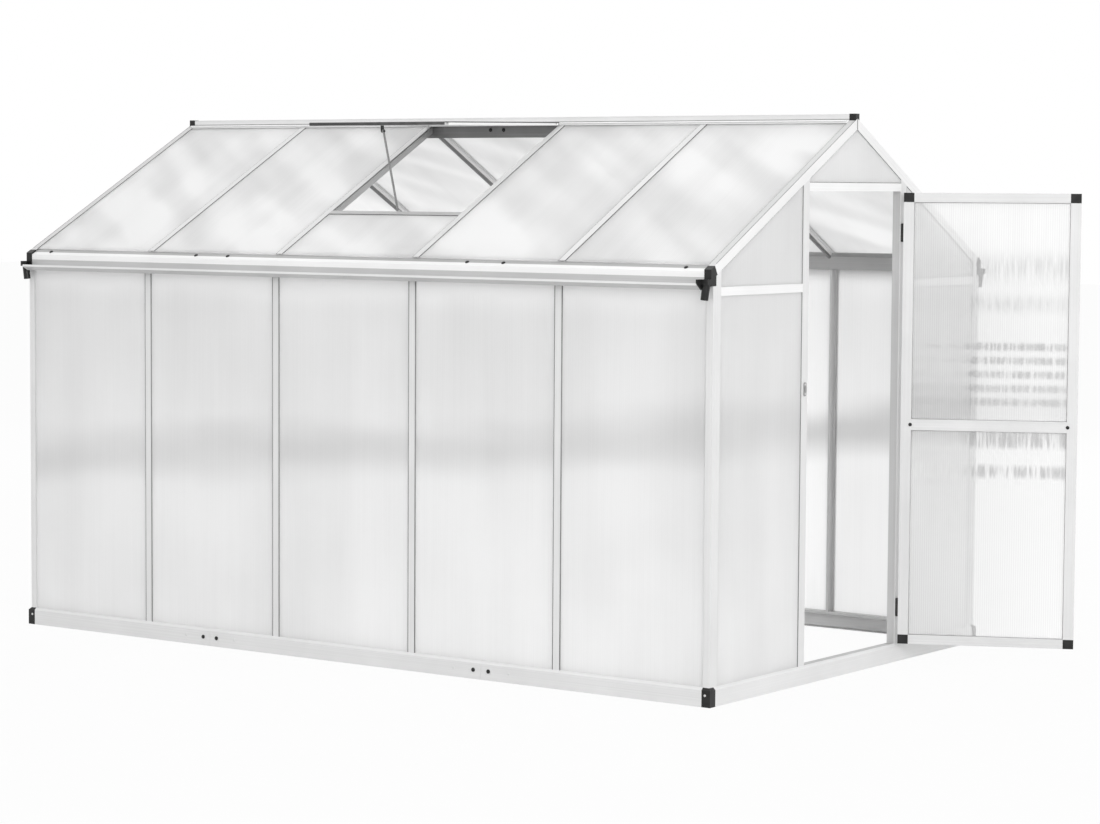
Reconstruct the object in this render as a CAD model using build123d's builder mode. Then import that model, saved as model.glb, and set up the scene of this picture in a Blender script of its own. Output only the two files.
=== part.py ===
# Greenhouse of glazing profiles, twin-wall panes and moulded corners, with a door and a roof vent.
# Millimetres. The ridge runs along X with the door gable at +X, the front wall is at -Y, Z is up.
import os
from math import asin, cos, hypot, radians, sin, tan

from build123d import *

os.makedirs("parts", exist_ok=True)

# Overall sizes
length = 3030.0
width = 1800.0
bay_count = 5
eave_height = 1398.0
roof_pitch = 28.5

# Base rails and their corner pieces
base_height = 62.0
base_depth = 40.0
base_wall = 2.0
base_return = 10.0
setback = 8.0
corner_cap = 32.0
cap_wall = 3.0
tongue = 50.0
splice_length = 160.0
anchor_radius = 6.0
anchor_inset = 315.0

# Profile sheet, panes and clearances
sheet = 1.5
pane = 4.0
play = 0.3
joint = 0.6
edge_play = 0.5
slot_play = 1.0

# Glazing bars, corner posts and rafters
bar_face = 25.0
bar_neck = 8.0
bar_stem = 9.0
bar_depth = 32.0
corner_face = 25.0
post_gable = 46.0
rafter_face = 32.0
pane_inset = 10.0
gable_pane_inset = 24.0
gable_pane_lap = 14.0

# Eave beam, gutter, end cups and corner covers
eave_out = 12.0
ledge_lap = 14.0
pane_start = 22.0
slot_roof = 38.0
slot_depth = 14.0
gutter_out = 61.0
gutter_flat = 24.0
gutter_floor = 71.0
gutter_lip = 50.0
gutter_rim = 7.0
sleeve_sheet = 2.0
sleeve_length = 200.0
cover_proud = 1.0
cover_out = 14.0
cover_notch = 16.0
cover_start = 8.0
cover_drop = 60.0
cup_wall = 2.5
cup_top = 38.0
cup_length = 5.0
drain_end = 5.0
drain_out = 27.0
drain_floor = 56.0
spout_radius = 12.5
spout_bore = 10.0
spout_length = 50.0
spout_sink = 4.0
spout_tilt = 8.0

# Ridge beam
ridge_rise = 15.0
ridge_half = 10.0
ridge_brim = 1.0
ridge_sheet = 2.0
ridge_wing = 32.0
web_half = 8.0
web_drop = 58.0
bead_radius = 3.0
bead_neck = 2.5

# Gable rails, door frame
rail_face = 28.0
rail_web = 4.0
rail_below_post = 4.0
doorway = 616.0
jamb_face = 38.0
jamb_slot = 14.0
header_drop = 12.7
header_face = 28.0
header_slot = 12.0

# Door and its hinges
door_rest = 115.0
door_gap = 6.0
door_floor_gap = 5.0
door_head_gap = 4.0
door_depth = 20.0
door_stile = 36.0
door_rail = 32.0
door_mid_rail_face = 38.0
door_mid_height = 833.0
door_slot = 12.0
corner_proud = 0.5
hinge_out = 6.0
hinge_height = 60.0
hinge_low = 124.0
hinge_high = 138.0
knuckle_radius = 5.0
pin_radius = 2.5
pin_clearance = 0.05
leaf_sheet = 2.0
leaf_width = 28.0
catch_height = 46.0
catch_width = 16.0
catch_sheet = 3.0
catch_z = 985.0

# Roof vent, its sill and its stay
vent_open = 27.5
vent_lift = 0.5
vent_depth = 12.0
vent_rail = 22.0
vent_slot = 12.0
vent_side_gap = 3.0
vent_overlap = 10.0
sill_low = 312.0
sill_face = 22.0
sill_slot = 10.0
sill_depth = 22.0
bracket_sheet = 5.0
bracket_drop = 19.0
bracket_clearance = 2.0
eye_radius = 6.0
stay_sheet = 4.4
stay_face = 7.0
stay_tail = 10.0
stay_hole_step = 36.0
peg_depth = 5.0
peg_lug = 8.0
peg_width = 6.0

# Places that follow from the sizes above
half_length = length / 2
half_width = width / 2
wall_x = half_length - setback
wall_y = half_width - setback
bay = length / bay_count
stud_xs = [(i - bay_count / 2) * bay for i in range(1, bay_count)]
splice_xs = sorted({(1.5 - bay_count / 2) * bay, (bay_count / 2 - 1.5) * bay})
vent_x = (bay_count // 2 + 0.5 - bay_count / 2) * bay
p = radians(roof_pitch)
apex_z = eave_height + wall_y * tan(p)
slope = wall_y / cos(p)
slot_back = sheet + pane + 2 * play
channel = slot_back + sheet
pane_face = sheet + play
beam_end = wall_x - corner_face - play
cap_end = wall_x + cover_proud
ledge_end = pane_start + ledge_lap
stud_top = eave_height - slot_roof - slot_depth
post_top = eave_height - cover_drop
rail_z = post_top - rail_below_post - rail_face
rear_stud_y = doorway / 2 + jamb_face / 2
groove_radius = bead_radius + play
hook_radius = groove_radius + ridge_sheet
hinge_s = slope - ridge_wing
ridge_top_z = apex_z + ridge_rise
header_z = apex_z - rafter_face / cos(p) - doorway / 2 * tan(p) - header_face - header_drop


def slab(x0, x1, y0, y1, mode=Mode.ADD):
    """Rectangle between two corners of the current sketch."""
    with Locations(((x0 + x1) / 2, (y0 + y1) / 2)):
        Rectangle(abs(x1 - x0), abs(y1 - y0), mode=mode)


def block(x0, x1, y0, y1, z0, z1, mode=Mode.ADD):
    """Box between two corners of the current part."""
    with Locations(((x0 + x1) / 2, (y0 + y1) / 2, (z0 + z1) / 2)):
        Box(abs(x1 - x0), abs(y1 - y0), abs(z1 - z0), mode=mode)


def lengths(start, cuts, end):
    """Start and end of each length of a spliced run, with a narrow joint at every cut."""
    marks = [start] + [c + side * joint / 2 for c in cuts for side in (-1, 1)] + [end]
    return list(zip(marks[::2], marks[1::2]))


def roof_yz(s, n):
    """Point on the front slope: s up the slope from the wall plane, n out of the roof."""
    return (-wall_y + s * cos(p) - n * sin(p), eave_height + s * sin(p) + n * cos(p))


def roof_cross(x, s):
    """Plane square to the front slope: local y points out of the roof, it extrudes up the slope."""
    return Plane((x, *roof_yz(s, 0)), x_dir=(-1, 0, 0), z_dir=(0, cos(p), sin(p)))


def roof_side(x):
    """Plane along the front slope: local x is s, local y is n, it extrudes along the ridge."""
    return Plane((x, *roof_yz(0, 0)), x_dir=(0, cos(p), sin(p)), z_dir=(1, 0, 0))


def eave(out, down):
    """Point near the front eave, measured outward from the wall and down from the roof edge."""
    return (-wall_y - out, eave_height - down)


def ledge_down(out, n):
    """Depth below the roof edge of a plane n under the roof."""
    return out * tan(p) + n / cos(p)


def front_stand(x):
    """Plan plane on the front base rail: local y points out of the wall."""
    return Plane((x, -wall_y, base_height), x_dir=(-1, 0, 0), z_dir=(0, 0, 1))


def door_end_run(y, z):
    """Section plane on the door gable: local x points inward, local y up, it extrudes along +Y."""
    return Plane((wall_x, y, z), x_dir=(-1, 0, 0), z_dir=(0, 1, 0))


def rear_end_run(y, z):
    """Section plane on the rear gable: local x points inward, local y up, it extrudes along -Y."""
    return Plane((-wall_x, y, z), x_dir=(1, 0, 0), z_dir=(0, -1, 0))


rafter_under = Plane(
    (0, *roof_yz(0, -rafter_face)), x_dir=(1, 0, 0), z_dir=(0, -sin(p), cos(p))
)
web_face = Plane((0, -web_half, 0), x_dir=(1, 0, 0), z_dir=(0, -1, 0))
rafter_cut = Plane((0, -joint / 2, 0), x_dir=(1, 0, 0), z_dir=(0, -1, 0))


def base_section():
    """Base rail: channel open inward, bevelled outer shoulder, small return under the top."""
    t = base_wall * tan(radians(22.5))
    Polygon(
        (0, 0),
        (base_depth, 0),
        (base_depth, base_wall),
        (base_wall, base_wall),
        (base_wall, base_height - setback - t),
        (setback + t, base_height - base_wall),
        (base_depth - base_wall, base_height - base_wall),
        (base_depth - base_wall, base_height - base_return),
        (base_depth, base_height - base_return),
        (base_depth, base_height),
        (setback, base_height),
        (0, base_height - setback),
        align=None,
    )


def bar_outer():
    """Outer flange and neck of a glazing bar."""
    slab(-bar_face / 2, bar_face / 2, -sheet, 0)
    slab(-bar_neck / 2, bar_neck / 2, -slot_back, -sheet)


def bar_inner():
    """Inner flange and stem of a glazing bar."""
    slab(-bar_face / 2, bar_face / 2, -channel, -slot_back)
    slab(-bar_stem / 2, bar_stem / 2, -bar_depth, -channel)


def rail_section():
    """Gable rail with a pane slot above and below its web."""
    slab(0, sheet, 0, rail_face)
    slab(slot_back, channel, 0, rail_face)
    slab(0, channel, (rail_face - rail_web) / 2, (rail_face + rail_web) / 2)


# Base rails, long sides
with BuildPart() as base_front:
    for a, b in lengths(-half_length + corner_cap, splice_xs, half_length - corner_cap):
        with BuildSketch(Plane((a, -half_width, 0), x_dir=(0, 1, 0), z_dir=(1, 0, 0))):
            base_section()
        extrude(amount=b - a)
    for side in (-1, 1):
        block(
            side * (half_length - base_depth - play),
            side * half_length,
            -half_width + corner_cap,
            -half_width + base_depth + play,
            -play,
            base_height + play,
            mode=Mode.SUBTRACT,
        )
        with Locations((side * (half_length - anchor_inset), -half_width + base_depth / 2, 0)):
            Cylinder(anchor_radius, 4 * base_wall, mode=Mode.SUBTRACT)
base_front.part.label = "base_front"
export_step(base_front.part, "parts/base_front.step")

with BuildPart() as base_back:
    mirror(base_front.part, about=Plane.XZ)
base_back.part.label = "base_back"
export_step(base_back.part, "parts/base_back.step")

# Base rails, gable ends
with BuildPart() as base_door_end:
    end_y = half_width - corner_cap
    with BuildSketch(Plane((half_length, -end_y, 0), x_dir=(-1, 0, 0), z_dir=(0, 1, 0))):
        base_section()
    extrude(amount=2 * end_y)
base_door_end.part.label = "base_door_end"
export_step(base_door_end.part, "parts/base_door_end.step")

with BuildPart() as base_rear_end:
    mirror(base_door_end.part, about=Plane.YZ)
base_rear_end.part.label = "base_rear_end"
export_step(base_rear_end.part, "parts/base_rear_end.step")

# Moulded corner pieces with a tongue inside each rail
with BuildPart() as base_corner_caps:
    cap_x = half_length - corner_cap
    cap_y = -half_width + corner_cap
    tongue_top = base_height - setback - cap_wall
    tongue_in = base_wall + play
    block(cap_x, half_length, -half_width, cap_y, 0, base_height)
    rim = faces().sort_by(Axis.Z)[-1].edges()
    chamfer([rim.sort_by(Axis.X)[-1], rim.sort_by(Axis.Y)[0]], setback)
    block(
        cap_x + cap_wall,
        half_length - cap_wall,
        -half_width + cap_wall,
        cap_y - cap_wall,
        0,
        tongue_top,
        mode=Mode.SUBTRACT,
    )
    block(
        cap_x - tongue,
        cap_x,
        -half_width + tongue_in,
        -half_width + tongue_in + cap_wall,
        tongue_in,
        tongue_top,
    )
    block(
        half_length - tongue_in - cap_wall,
        half_length - tongue_in,
        cap_y,
        cap_y + tongue,
        tongue_in,
        tongue_top,
    )
    mirror(about=Plane.XZ)
    mirror(about=Plane.YZ)
base_corner_caps.part.label = "base_corner_caps"
export_step(base_corner_caps.part, "parts/base_corner_caps.step")

# Plates that join the lengths of the long base rails
with BuildPart() as base_splice_plates:
    for x in splice_xs:
        block(
            x - splice_length / 2,
            x + splice_length / 2,
            -half_width + base_wall,
            -half_width + base_wall + cap_wall,
            base_wall,
            base_height - setback - cap_wall,
        )
    mirror(about=Plane.XZ)
base_splice_plates.part.label = "base_splice_plates"
export_step(base_splice_plates.part, "parts/base_splice_plates.step")

# Corner posts: two legs with a pane slot in each
with BuildPart() as post_door_front:
    with BuildSketch(Plane.XY.offset(base_height)):
        slab(wall_x - corner_face, wall_x, -wall_y, -wall_y + sheet)
        slab(wall_x - corner_face, wall_x, -wall_y + slot_back, -wall_y + channel)
        slab(wall_x - sheet, wall_x, -wall_y, -wall_y + post_gable)
        slab(wall_x - channel, wall_x - slot_back, -wall_y, -wall_y + post_gable)
        slab(wall_x - channel, wall_x, -wall_y, -wall_y + channel)
    extrude(amount=eave_height - base_height)
    block(
        wall_x - corner_face - play,
        wall_x + play,
        -wall_y - play,
        -wall_y + cover_notch,
        post_top,
        eave_height + play,
        mode=Mode.SUBTRACT,
    )
    split(bisect_by=rafter_under, keep=Keep.BOTTOM)
post_door_front.part.label = "post_door_front"
export_step(post_door_front.part, "parts/post_door_front.step")

with BuildPart() as post_door_back:
    mirror(post_door_front.part, about=Plane.XZ)
post_door_back.part.label = "post_door_back"
export_step(post_door_back.part, "parts/post_door_back.step")

with BuildPart() as post_rear_front:
    mirror(post_door_front.part, about=Plane.YZ)
post_rear_front.part.label = "post_rear_front"
export_step(post_rear_front.part, "parts/post_rear_front.step")

with BuildPart() as post_rear_back:
    mirror(post_rear_front.part, about=Plane.XZ)
post_rear_back.part.label = "post_rear_back"
export_step(post_rear_back.part, "parts/post_rear_back.step")

# Wall bars of the long sides
with BuildPart() as front_studs:
    for x in stud_xs:
        with BuildSketch(front_stand(x)):
            bar_outer()
            bar_inner()
        extrude(amount=stud_top - base_height)
front_studs.part.label = "front_studs"
export_step(front_studs.part, "parts/front_studs.step")

with BuildPart() as back_studs:
    mirror(front_studs.part, about=Plane.XZ)
back_studs.part.label = "back_studs"
export_step(back_studs.part, "parts/back_studs.step")

# Eave beam and gutter in one profile
with BuildPart() as front_gutter:
    mid = (slot_back + channel) / 2
    mid_out = eave_out - sheet / 2
    lip_mid = gutter_out - sheet / 2
    floor_mid = gutter_floor - sheet / 2
    for a, b in lengths(-beam_end, splice_xs, beam_end):
        with BuildSketch(Plane.YZ.offset(a)):
            Polygon(
                eave(eave_out, ledge_down(eave_out, slot_back)),
                eave(eave_out, ledge_down(eave_out, channel)),
                roof_yz(ledge_end, -channel),
                roof_yz(ledge_end, -slot_back),
                align=None,
            )
            with BuildLine():
                FilletPolyline(
                    eave(mid_out, ledge_down(mid_out, mid)),
                    eave(mid_out, floor_mid),
                    eave(eave_out + gutter_flat, floor_mid),
                    eave(lip_mid, gutter_lip + gutter_rim),
                    eave(lip_mid, gutter_lip),
                    radius=gutter_rim / 2,
                )
            trace(line_width=sheet)
            slab(
                *(-wall_y - gutter_out, -wall_y - gutter_out + 2 * sheet),
                *(eave_height - gutter_lip - sheet, eave_height - gutter_lip),
            )
            slab(
                *(-wall_y, -wall_y + sheet),
                *(stud_top, eave_height - slot_roof),
            )
            slab(
                *(-wall_y - mid_out, -wall_y + channel),
                *(eave_height - slot_roof, eave_height - slot_roof + sheet),
            )
            slab(
                *(-wall_y + slot_back, -wall_y + channel),
                *(stud_top, eave_height - ledge_down(-channel, mid)),
            )
        extrude(amount=b - a)
front_gutter.part.label = "front_gutter"
export_step(front_gutter.part, "parts/front_gutter.step")

with BuildPart() as back_gutter:
    mirror(front_gutter.part, about=Plane.XZ)
back_gutter.part.label = "back_gutter"
export_step(back_gutter.part, "parts/back_gutter.step")

# Plates inside the eave beam at its joints
with BuildPart() as gutter_sleeves:
    out_a = eave_out - sheet - play
    out_b = -slot_back + play
    for x in splice_xs:
        with BuildSketch(Plane.YZ.offset(x - sleeve_length / 2)):
            Polygon(
                eave(out_a, ledge_down(out_a, channel)),
                eave(out_a, ledge_down(out_a, channel + sleeve_sheet)),
                eave(out_b, ledge_down(out_b, channel + sleeve_sheet)),
                eave(out_b, ledge_down(out_b, channel)),
                align=None,
            )
        extrude(amount=sleeve_length)
    mirror(about=Plane.XZ)
gutter_sleeves.part.label = "gutter_sleeves"
export_step(gutter_sleeves.part, "parts/gutter_sleeves.step")

# Gutter end cups, each with a drain box beside it and a spout below the box
with BuildPart() as gutter_outlets:
    cup_floor = gutter_floor + cup_wall / 2
    cup_out = gutter_out + cup_wall
    box_end = wall_x + drain_end
    box_out = cover_out + drain_out
    box_bed = drain_floor - cup_wall
    with BuildSketch(Plane.YZ.offset(beam_end)):
        Polygon(
            eave(cover_out, cup_top),
            eave(cover_out, cup_floor),
            eave(eave_out + gutter_flat, cup_floor),
            eave(cup_out, gutter_lip),
            eave(cup_out, cup_top),
            align=None,
        )
    extrude(amount=cup_length)
    block(
        *(beam_end, box_end),
        *(-wall_y - box_out, -wall_y - cover_out),
        *(eave_height - drain_floor, eave_height - cup_top),
    )
    with BuildSketch(Plane.YZ.offset(beam_end)):
        Polygon(
            eave(cover_out + cup_wall, cup_top - play),
            eave(cover_out + cup_wall, cup_floor - cup_wall),
            eave(eave_out + gutter_flat - cup_wall / 2, cup_floor - cup_wall),
            eave(cup_out - cup_wall, gutter_lip - cup_wall / 2),
            eave(cup_out - cup_wall, cup_top - play),
            align=None,
        )
    extrude(amount=cup_length - cup_wall, mode=Mode.SUBTRACT)
    block(
        *(beam_end, box_end - cup_wall),
        *(-wall_y - box_out + cup_wall, -wall_y - cover_out - cup_wall),
        *(eave_height - box_bed, eave_height - cup_top + play),
        mode=Mode.SUBTRACT,
    )
    tilt = radians(spout_tilt)
    spout_top = Plane(
        (
            box_end - spout_radius - cup_wall / 2,
            *eave((cover_out + box_out) / 2, drain_floor - 0.8 * cup_wall),
        ),
        x_dir=(0, 1, 0),
        z_dir=(-sin(tilt), 0, -cos(tilt)),
    )
    with BuildSketch(spout_top):
        Circle(spout_radius)
    extrude(amount=spout_length)
    with BuildSketch(spout_top.offset(-spout_sink)):
        Circle(spout_bore)
    extrude(amount=spout_sink + spout_length, mode=Mode.SUBTRACT)
    mirror(about=Plane.XZ)
    mirror(about=Plane.YZ)
gutter_outlets.part.label = "gutter_outlets"
export_step(gutter_outlets.part, "parts/gutter_outlets.step")

# Moulded covers where post, rafter and eave beam meet
with BuildPart() as eave_corner_covers:
    with BuildSketch(Plane.YZ.offset(beam_end)):
        Polygon(
            roof_yz(cover_start, 0),
            eave(cover_out, ledge_down(cover_out, 0)),
            eave(cover_out, cover_drop),
            eave(-cover_notch, cover_drop),
            eave(-cover_notch, ledge_down(-cover_notch, rafter_face)),
            roof_yz(cover_start, -rafter_face),
            align=None,
        )
    extrude(amount=cap_end - beam_end)
    block(
        *(beam_end, wall_x - pane_inset + slot_play),
        *(-wall_y + sheet, -wall_y + slot_back),
        *(post_top, eave_height - slot_roof),
        mode=Mode.SUBTRACT,
    )
    mirror(about=Plane.XZ)
    mirror(about=Plane.YZ)
eave_corner_covers.part.label = "eave_corner_covers"
export_step(eave_corner_covers.part, "parts/eave_corner_covers.step")

# Gable rafters: one pane slot for the roof, one for the gable
with BuildPart() as rafter_door_front:
    with BuildSketch(roof_cross(wall_x, cover_start)):
        slab(0, corner_face, -sheet, 0)
        slab(0, corner_face, -channel, -slot_back)
        slab(0, sheet, -rafter_face, 0)
        slab(slot_back, channel, -rafter_face, 0)
        slab(0, channel, -channel, 0)
    extrude(amount=slope)
    split(bisect_by=rafter_cut, keep=Keep.TOP)
rafter_door_front.part.label = "rafter_door_front"
export_step(rafter_door_front.part, "parts/rafter_door_front.step")

with BuildPart() as rafter_door_back:
    mirror(rafter_door_front.part, about=Plane.XZ)
rafter_door_back.part.label = "rafter_door_back"
export_step(rafter_door_back.part, "parts/rafter_door_back.step")

with BuildPart() as rafter_rear_front:
    mirror(rafter_door_front.part, about=Plane.YZ)
rafter_rear_front.part.label = "rafter_rear_front"
export_step(rafter_rear_front.part, "parts/rafter_rear_front.step")

with BuildPart() as rafter_rear_back:
    mirror(rafter_rear_front.part, about=Plane.XZ)
rafter_rear_back.part.label = "rafter_rear_back"
export_step(rafter_rear_back.part, "parts/rafter_rear_back.step")

# Roof bars: the outer flange lies on the eave ledge, the inner part stops against it
with BuildPart() as front_roof_bars:
    for x in stud_xs:
        with BuildSketch(roof_cross(x, pane_start)):
            bar_outer()
        extrude(amount=slope)
        with BuildSketch(roof_cross(x, ledge_end)):
            bar_inner()
        extrude(amount=slope)
    split(bisect_by=web_face, keep=Keep.TOP)
front_roof_bars.part.label = "front_roof_bars"
export_step(front_roof_bars.part, "parts/front_roof_bars.step")

with BuildPart() as back_roof_bars:
    mirror(front_roof_bars.part, about=Plane.XZ)
back_roof_bars.part.label = "back_roof_bars"
export_step(back_roof_bars.part, "parts/back_roof_bars.step")

# Ridge beam: wings over the bars, hollow web between them, hinge groove along each wing
neck_half = asin(bead_neck / 2 / groove_radius)
groove_low = radians(180) + neck_half + radians(4)
groove_high = radians(180 - vent_open) - neck_half - radians(4)
with BuildPart() as ridge_door_half:
    with BuildSketch(Plane.YZ.offset(joint / 2)):
        Polygon(
            roof_yz(hinge_s, 0),
            (0, apex_z),
            (0, apex_z + ridge_sheet / cos(p)),
            roof_yz(hinge_s, ridge_sheet),
            align=None,
        )
        slab(
            *(-ridge_half, -ridge_half + ridge_sheet),
            *(apex_z - (ridge_half - ridge_sheet) * tan(p), ridge_top_z),
        )
        slab(-ridge_half - ridge_brim, 0, ridge_top_z - ridge_sheet, ridge_top_z)
        slab(
            *(-web_half, -web_half + ridge_sheet),
            *(apex_z - web_drop, apex_z - (web_half - ridge_sheet) * tan(p)),
        )
        slab(-web_half, 0, apex_z - web_drop, apex_z - web_drop + ridge_sheet)
        groove_y, groove_z = roof_yz(hinge_s, hook_radius)
        with Locations((groove_y, groove_z)):
            Circle(hook_radius)
            Circle(groove_radius, mode=Mode.SUBTRACT)
        mouth = [groove_low, (groove_low + groove_high) / 2, groove_high]
        reach = 2 * hook_radius
        Polygon(
            (groove_y, groove_z),
            *((groove_y + reach * cos(g + p), groove_z + reach * sin(g + p)) for g in mouth),
            align=None,
            mode=Mode.SUBTRACT,
        )
        mirror(about=Plane.YZ)
    extrude(amount=beam_end - joint / 2)
ridge_door_half.part.label = "ridge_door_half"
export_step(ridge_door_half.part, "parts/ridge_door_half.step")

with BuildPart() as ridge_rear_half:
    mirror(ridge_door_half.part, about=Plane.YZ)
ridge_rear_half.part.label = "ridge_rear_half"
export_step(ridge_rear_half.part, "parts/ridge_rear_half.step")

# Bar inside the web that joins the two ridge lengths
with BuildPart() as ridge_splice:
    splice_half = web_half - ridge_sheet - play
    splice_low = apex_z - web_drop + ridge_sheet
    block(
        *(-splice_length / 2, splice_length / 2),
        *(-splice_half, splice_half),
        *(splice_low, apex_z - web_half - ridge_sheet),
    )
ridge_splice.part.label = "ridge_splice"
export_step(ridge_splice.part, "parts/ridge_splice.step")

# Moulded ridge end caps
with BuildPart() as ridge_end_caps:
    cap_half = ridge_half + ridge_brim + sheet / 2
    with BuildSketch(Plane.YZ.offset(beam_end)):
        Polygon(
            (-cap_half, apex_z - cap_half * tan(p)),
            (0, apex_z),
            (cap_half, apex_z - cap_half * tan(p)),
            (cap_half, ridge_top_z + sheet),
            (-cap_half, ridge_top_z + sheet),
            align=None,
        )
    extrude(amount=wall_x - beam_end)
    mirror(about=Plane.YZ)
ridge_end_caps.part.label = "ridge_end_caps"
export_step(ridge_end_caps.part, "parts/ridge_end_caps.step")

# Door jambs: hollow, with a pane slot on the outer side
with BuildPart() as jamb_catch:
    jamb_in = -doorway / 2
    jamb_lip = jamb_in - jamb_face
    with BuildSketch(Plane.XY.offset(base_height)):
        slab(wall_x - bar_depth, wall_x, jamb_lip + jamb_slot, jamb_in)
        slab(
            *(wall_x - bar_depth + sheet, wall_x - sheet),
            *(jamb_lip + jamb_slot + sheet, jamb_in - sheet),
            mode=Mode.SUBTRACT,
        )
        slab(wall_x - sheet, wall_x, jamb_lip, jamb_lip + jamb_slot)
        slab(wall_x - channel, wall_x - slot_back, jamb_lip, jamb_lip + jamb_slot)
    extrude(amount=apex_z - base_height)
    split(bisect_by=rafter_under, keep=Keep.BOTTOM)
jamb_catch.part.label = "jamb_catch"
export_step(jamb_catch.part, "parts/jamb_catch.step")

with BuildPart() as jamb_hinge:
    mirror(jamb_catch.part, about=Plane.XZ)
jamb_hinge.part.label = "jamb_hinge"
export_step(jamb_hinge.part, "parts/jamb_hinge.step")

# Door header with a pane slot on top
with BuildPart() as door_header:
    header_tube = header_face - header_slot
    with BuildSketch(door_end_run(-doorway / 2, header_z)):
        slab(0, bar_depth, 0, header_tube)
        slab(sheet, bar_depth - sheet, sheet, header_tube - sheet, mode=Mode.SUBTRACT)
        slab(0, sheet, header_tube, header_face)
        slab(slot_back, channel, header_tube, header_face)
    extrude(amount=doorway)
door_header.part.label = "door_header"
export_step(door_header.part, "parts/door_header.step")

# Gable rails beside the door and across the rear
with BuildPart() as gable_rail_front:
    with BuildSketch(door_end_run(-wall_y + post_gable, rail_z)):
        rail_section()
    extrude(amount=wall_y - post_gable - doorway / 2 - jamb_face)
gable_rail_front.part.label = "gable_rail_front"
export_step(gable_rail_front.part, "parts/gable_rail_front.step")

with BuildPart() as gable_rail_back:
    mirror(gable_rail_front.part, about=Plane.XZ)
gable_rail_back.part.label = "gable_rail_back"
export_step(gable_rail_back.part, "parts/gable_rail_back.step")

with BuildPart() as rear_gable_studs:
    with BuildSketch(Plane((-wall_x, -rear_stud_y, base_height), x_dir=(0, 1, 0), z_dir=(0, 0, 1))):
        bar_outer()
        bar_inner()
    extrude(amount=apex_z - base_height)
    split(bisect_by=rafter_under, keep=Keep.BOTTOM)
    mirror(about=Plane.XZ)
rear_gable_studs.part.label = "rear_gable_studs"
export_step(rear_gable_studs.part, "parts/rear_gable_studs.step")

with BuildPart() as rear_gable_rails:
    stud_edge = rear_stud_y + bar_face / 2
    stud_gap = rear_stud_y - bar_face / 2
    for top, bottom in (
        (wall_y - post_gable, stud_edge),
        (stud_gap, -stud_gap),
        (-stud_edge, post_gable - wall_y),
    ):
        with BuildSketch(rear_end_run(top, rail_z)):
            rail_section()
        extrude(amount=top - bottom)
rear_gable_rails.part.label = "rear_gable_rails"
export_step(rear_gable_rails.part, "parts/rear_gable_rails.step")

# Roof vent geometry: hinge line, stay pin and stay peg
q = p - radians(vent_open)
hinge_y, hinge_z = roof_yz(hinge_s, hook_radius)
vent_low = vent_lift - hook_radius
vent_mid = vent_low + vent_depth / 2
vent_half = bay / 2 - vent_side_gap
vent_length = hinge_s - sill_low + vent_overlap
sill_high = sill_low + sill_face
stay_half = stay_sheet / 2
bracket_s = sill_high - hinge_s + bracket_clearance
stay_s = bracket_s + eye_radius + slot_play
stay_n = vent_low - bracket_drop
stay_reach = hypot(stay_s, stay_n)
peg_s = hinge_s - stay_reach * cos(asin((hook_radius + peg_depth) / stay_reach))
pin_y = hinge_y + stay_s * cos(q) - stay_n * sin(q)
pin_z = hinge_z + stay_s * sin(q) + stay_n * cos(q)
peg_y, peg_z = roof_yz(peg_s, -peg_depth)
stay_length = hypot(peg_y - pin_y, peg_z - pin_z)


def vent_side(x):
    """Plane along the vent from its hinge line: local x up the slope, local y out of the vent."""
    return Plane((x, hinge_y, hinge_z), x_dir=(0, cos(q), sin(q)), z_dir=(1, 0, 0))


# Sill between two roof bars below the vent, with the peg for the stay
with BuildPart() as vent_sill:
    sill_half = bay / 2 - bar_face / 2
    sill_wall = sill_low + sill_slot
    with BuildSketch(roof_side(vent_x - sill_half)):
        slab(sill_wall, sill_high, -sill_depth, 0)
        slab(
            *(sill_wall + sheet, sill_high - sheet),
            *(-sill_depth + sheet, -sheet),
            mode=Mode.SUBTRACT,
        )
        slab(sill_low, sill_wall, -sheet, 0)
        slab(sill_low, sill_wall, -channel, -slot_back)
    extrude(amount=2 * sill_half)
    with BuildSketch(roof_side(vent_x + stay_half + play)):
        slab(sill_high, peg_s + peg_lug / 2, -peg_depth - peg_lug / 2, -peg_depth + peg_lug / 2)
    extrude(amount=peg_width)
vent_sill.part.label = "vent_sill"
export_step(vent_sill.part, "parts/vent_sill.step")


def bay_span(i):
    """Left and right pane edges of a bay."""
    grip = bar_neck / 2 + edge_play
    left = -wall_x + pane_inset if i == 0 else stud_xs[i - 1] + grip
    right = wall_x - pane_inset if i == bay_count - 1 else stud_xs[i] - grip
    return left, right


# Panes of the long sides
with BuildPart() as side_panes_front:
    pane_foot = base_height + play
    pane_head = eave_height - slot_roof - slot_play
    for i in range(bay_count):
        left, right = bay_span(i)
        with BuildSketch(Plane.XY.offset(pane_foot)):
            slab(left, right, -wall_y + pane_face, -wall_y + pane_face + pane)
        extrude(amount=pane_head - pane_foot)
side_panes_front.part.label = "side_panes_front"
export_step(side_panes_front.part, "parts/side_panes_front.step")

with BuildPart() as side_panes_back:
    mirror(side_panes_front.part, about=Plane.XZ)
side_panes_back.part.label = "side_panes_back"
export_step(side_panes_back.part, "parts/side_panes_back.step")

# Roof panes; the one below the vent stops in the sill
pane_end = (wall_y - web_half - slot_play - (pane_face + pane) * sin(p)) / cos(p)

with BuildPart() as roof_panes_front:
    for i in range(bay_count):
        left, right = bay_span(i)
        top = sill_wall - slot_play if i == bay_count // 2 else pane_end
        with BuildSketch(roof_cross(0, pane_start)):
            slab(-right, -left, -pane_face - pane, -pane_face)
        extrude(amount=top - pane_start)
roof_panes_front.part.label = "roof_panes_front"
export_step(roof_panes_front.part, "parts/roof_panes_front.step")

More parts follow.
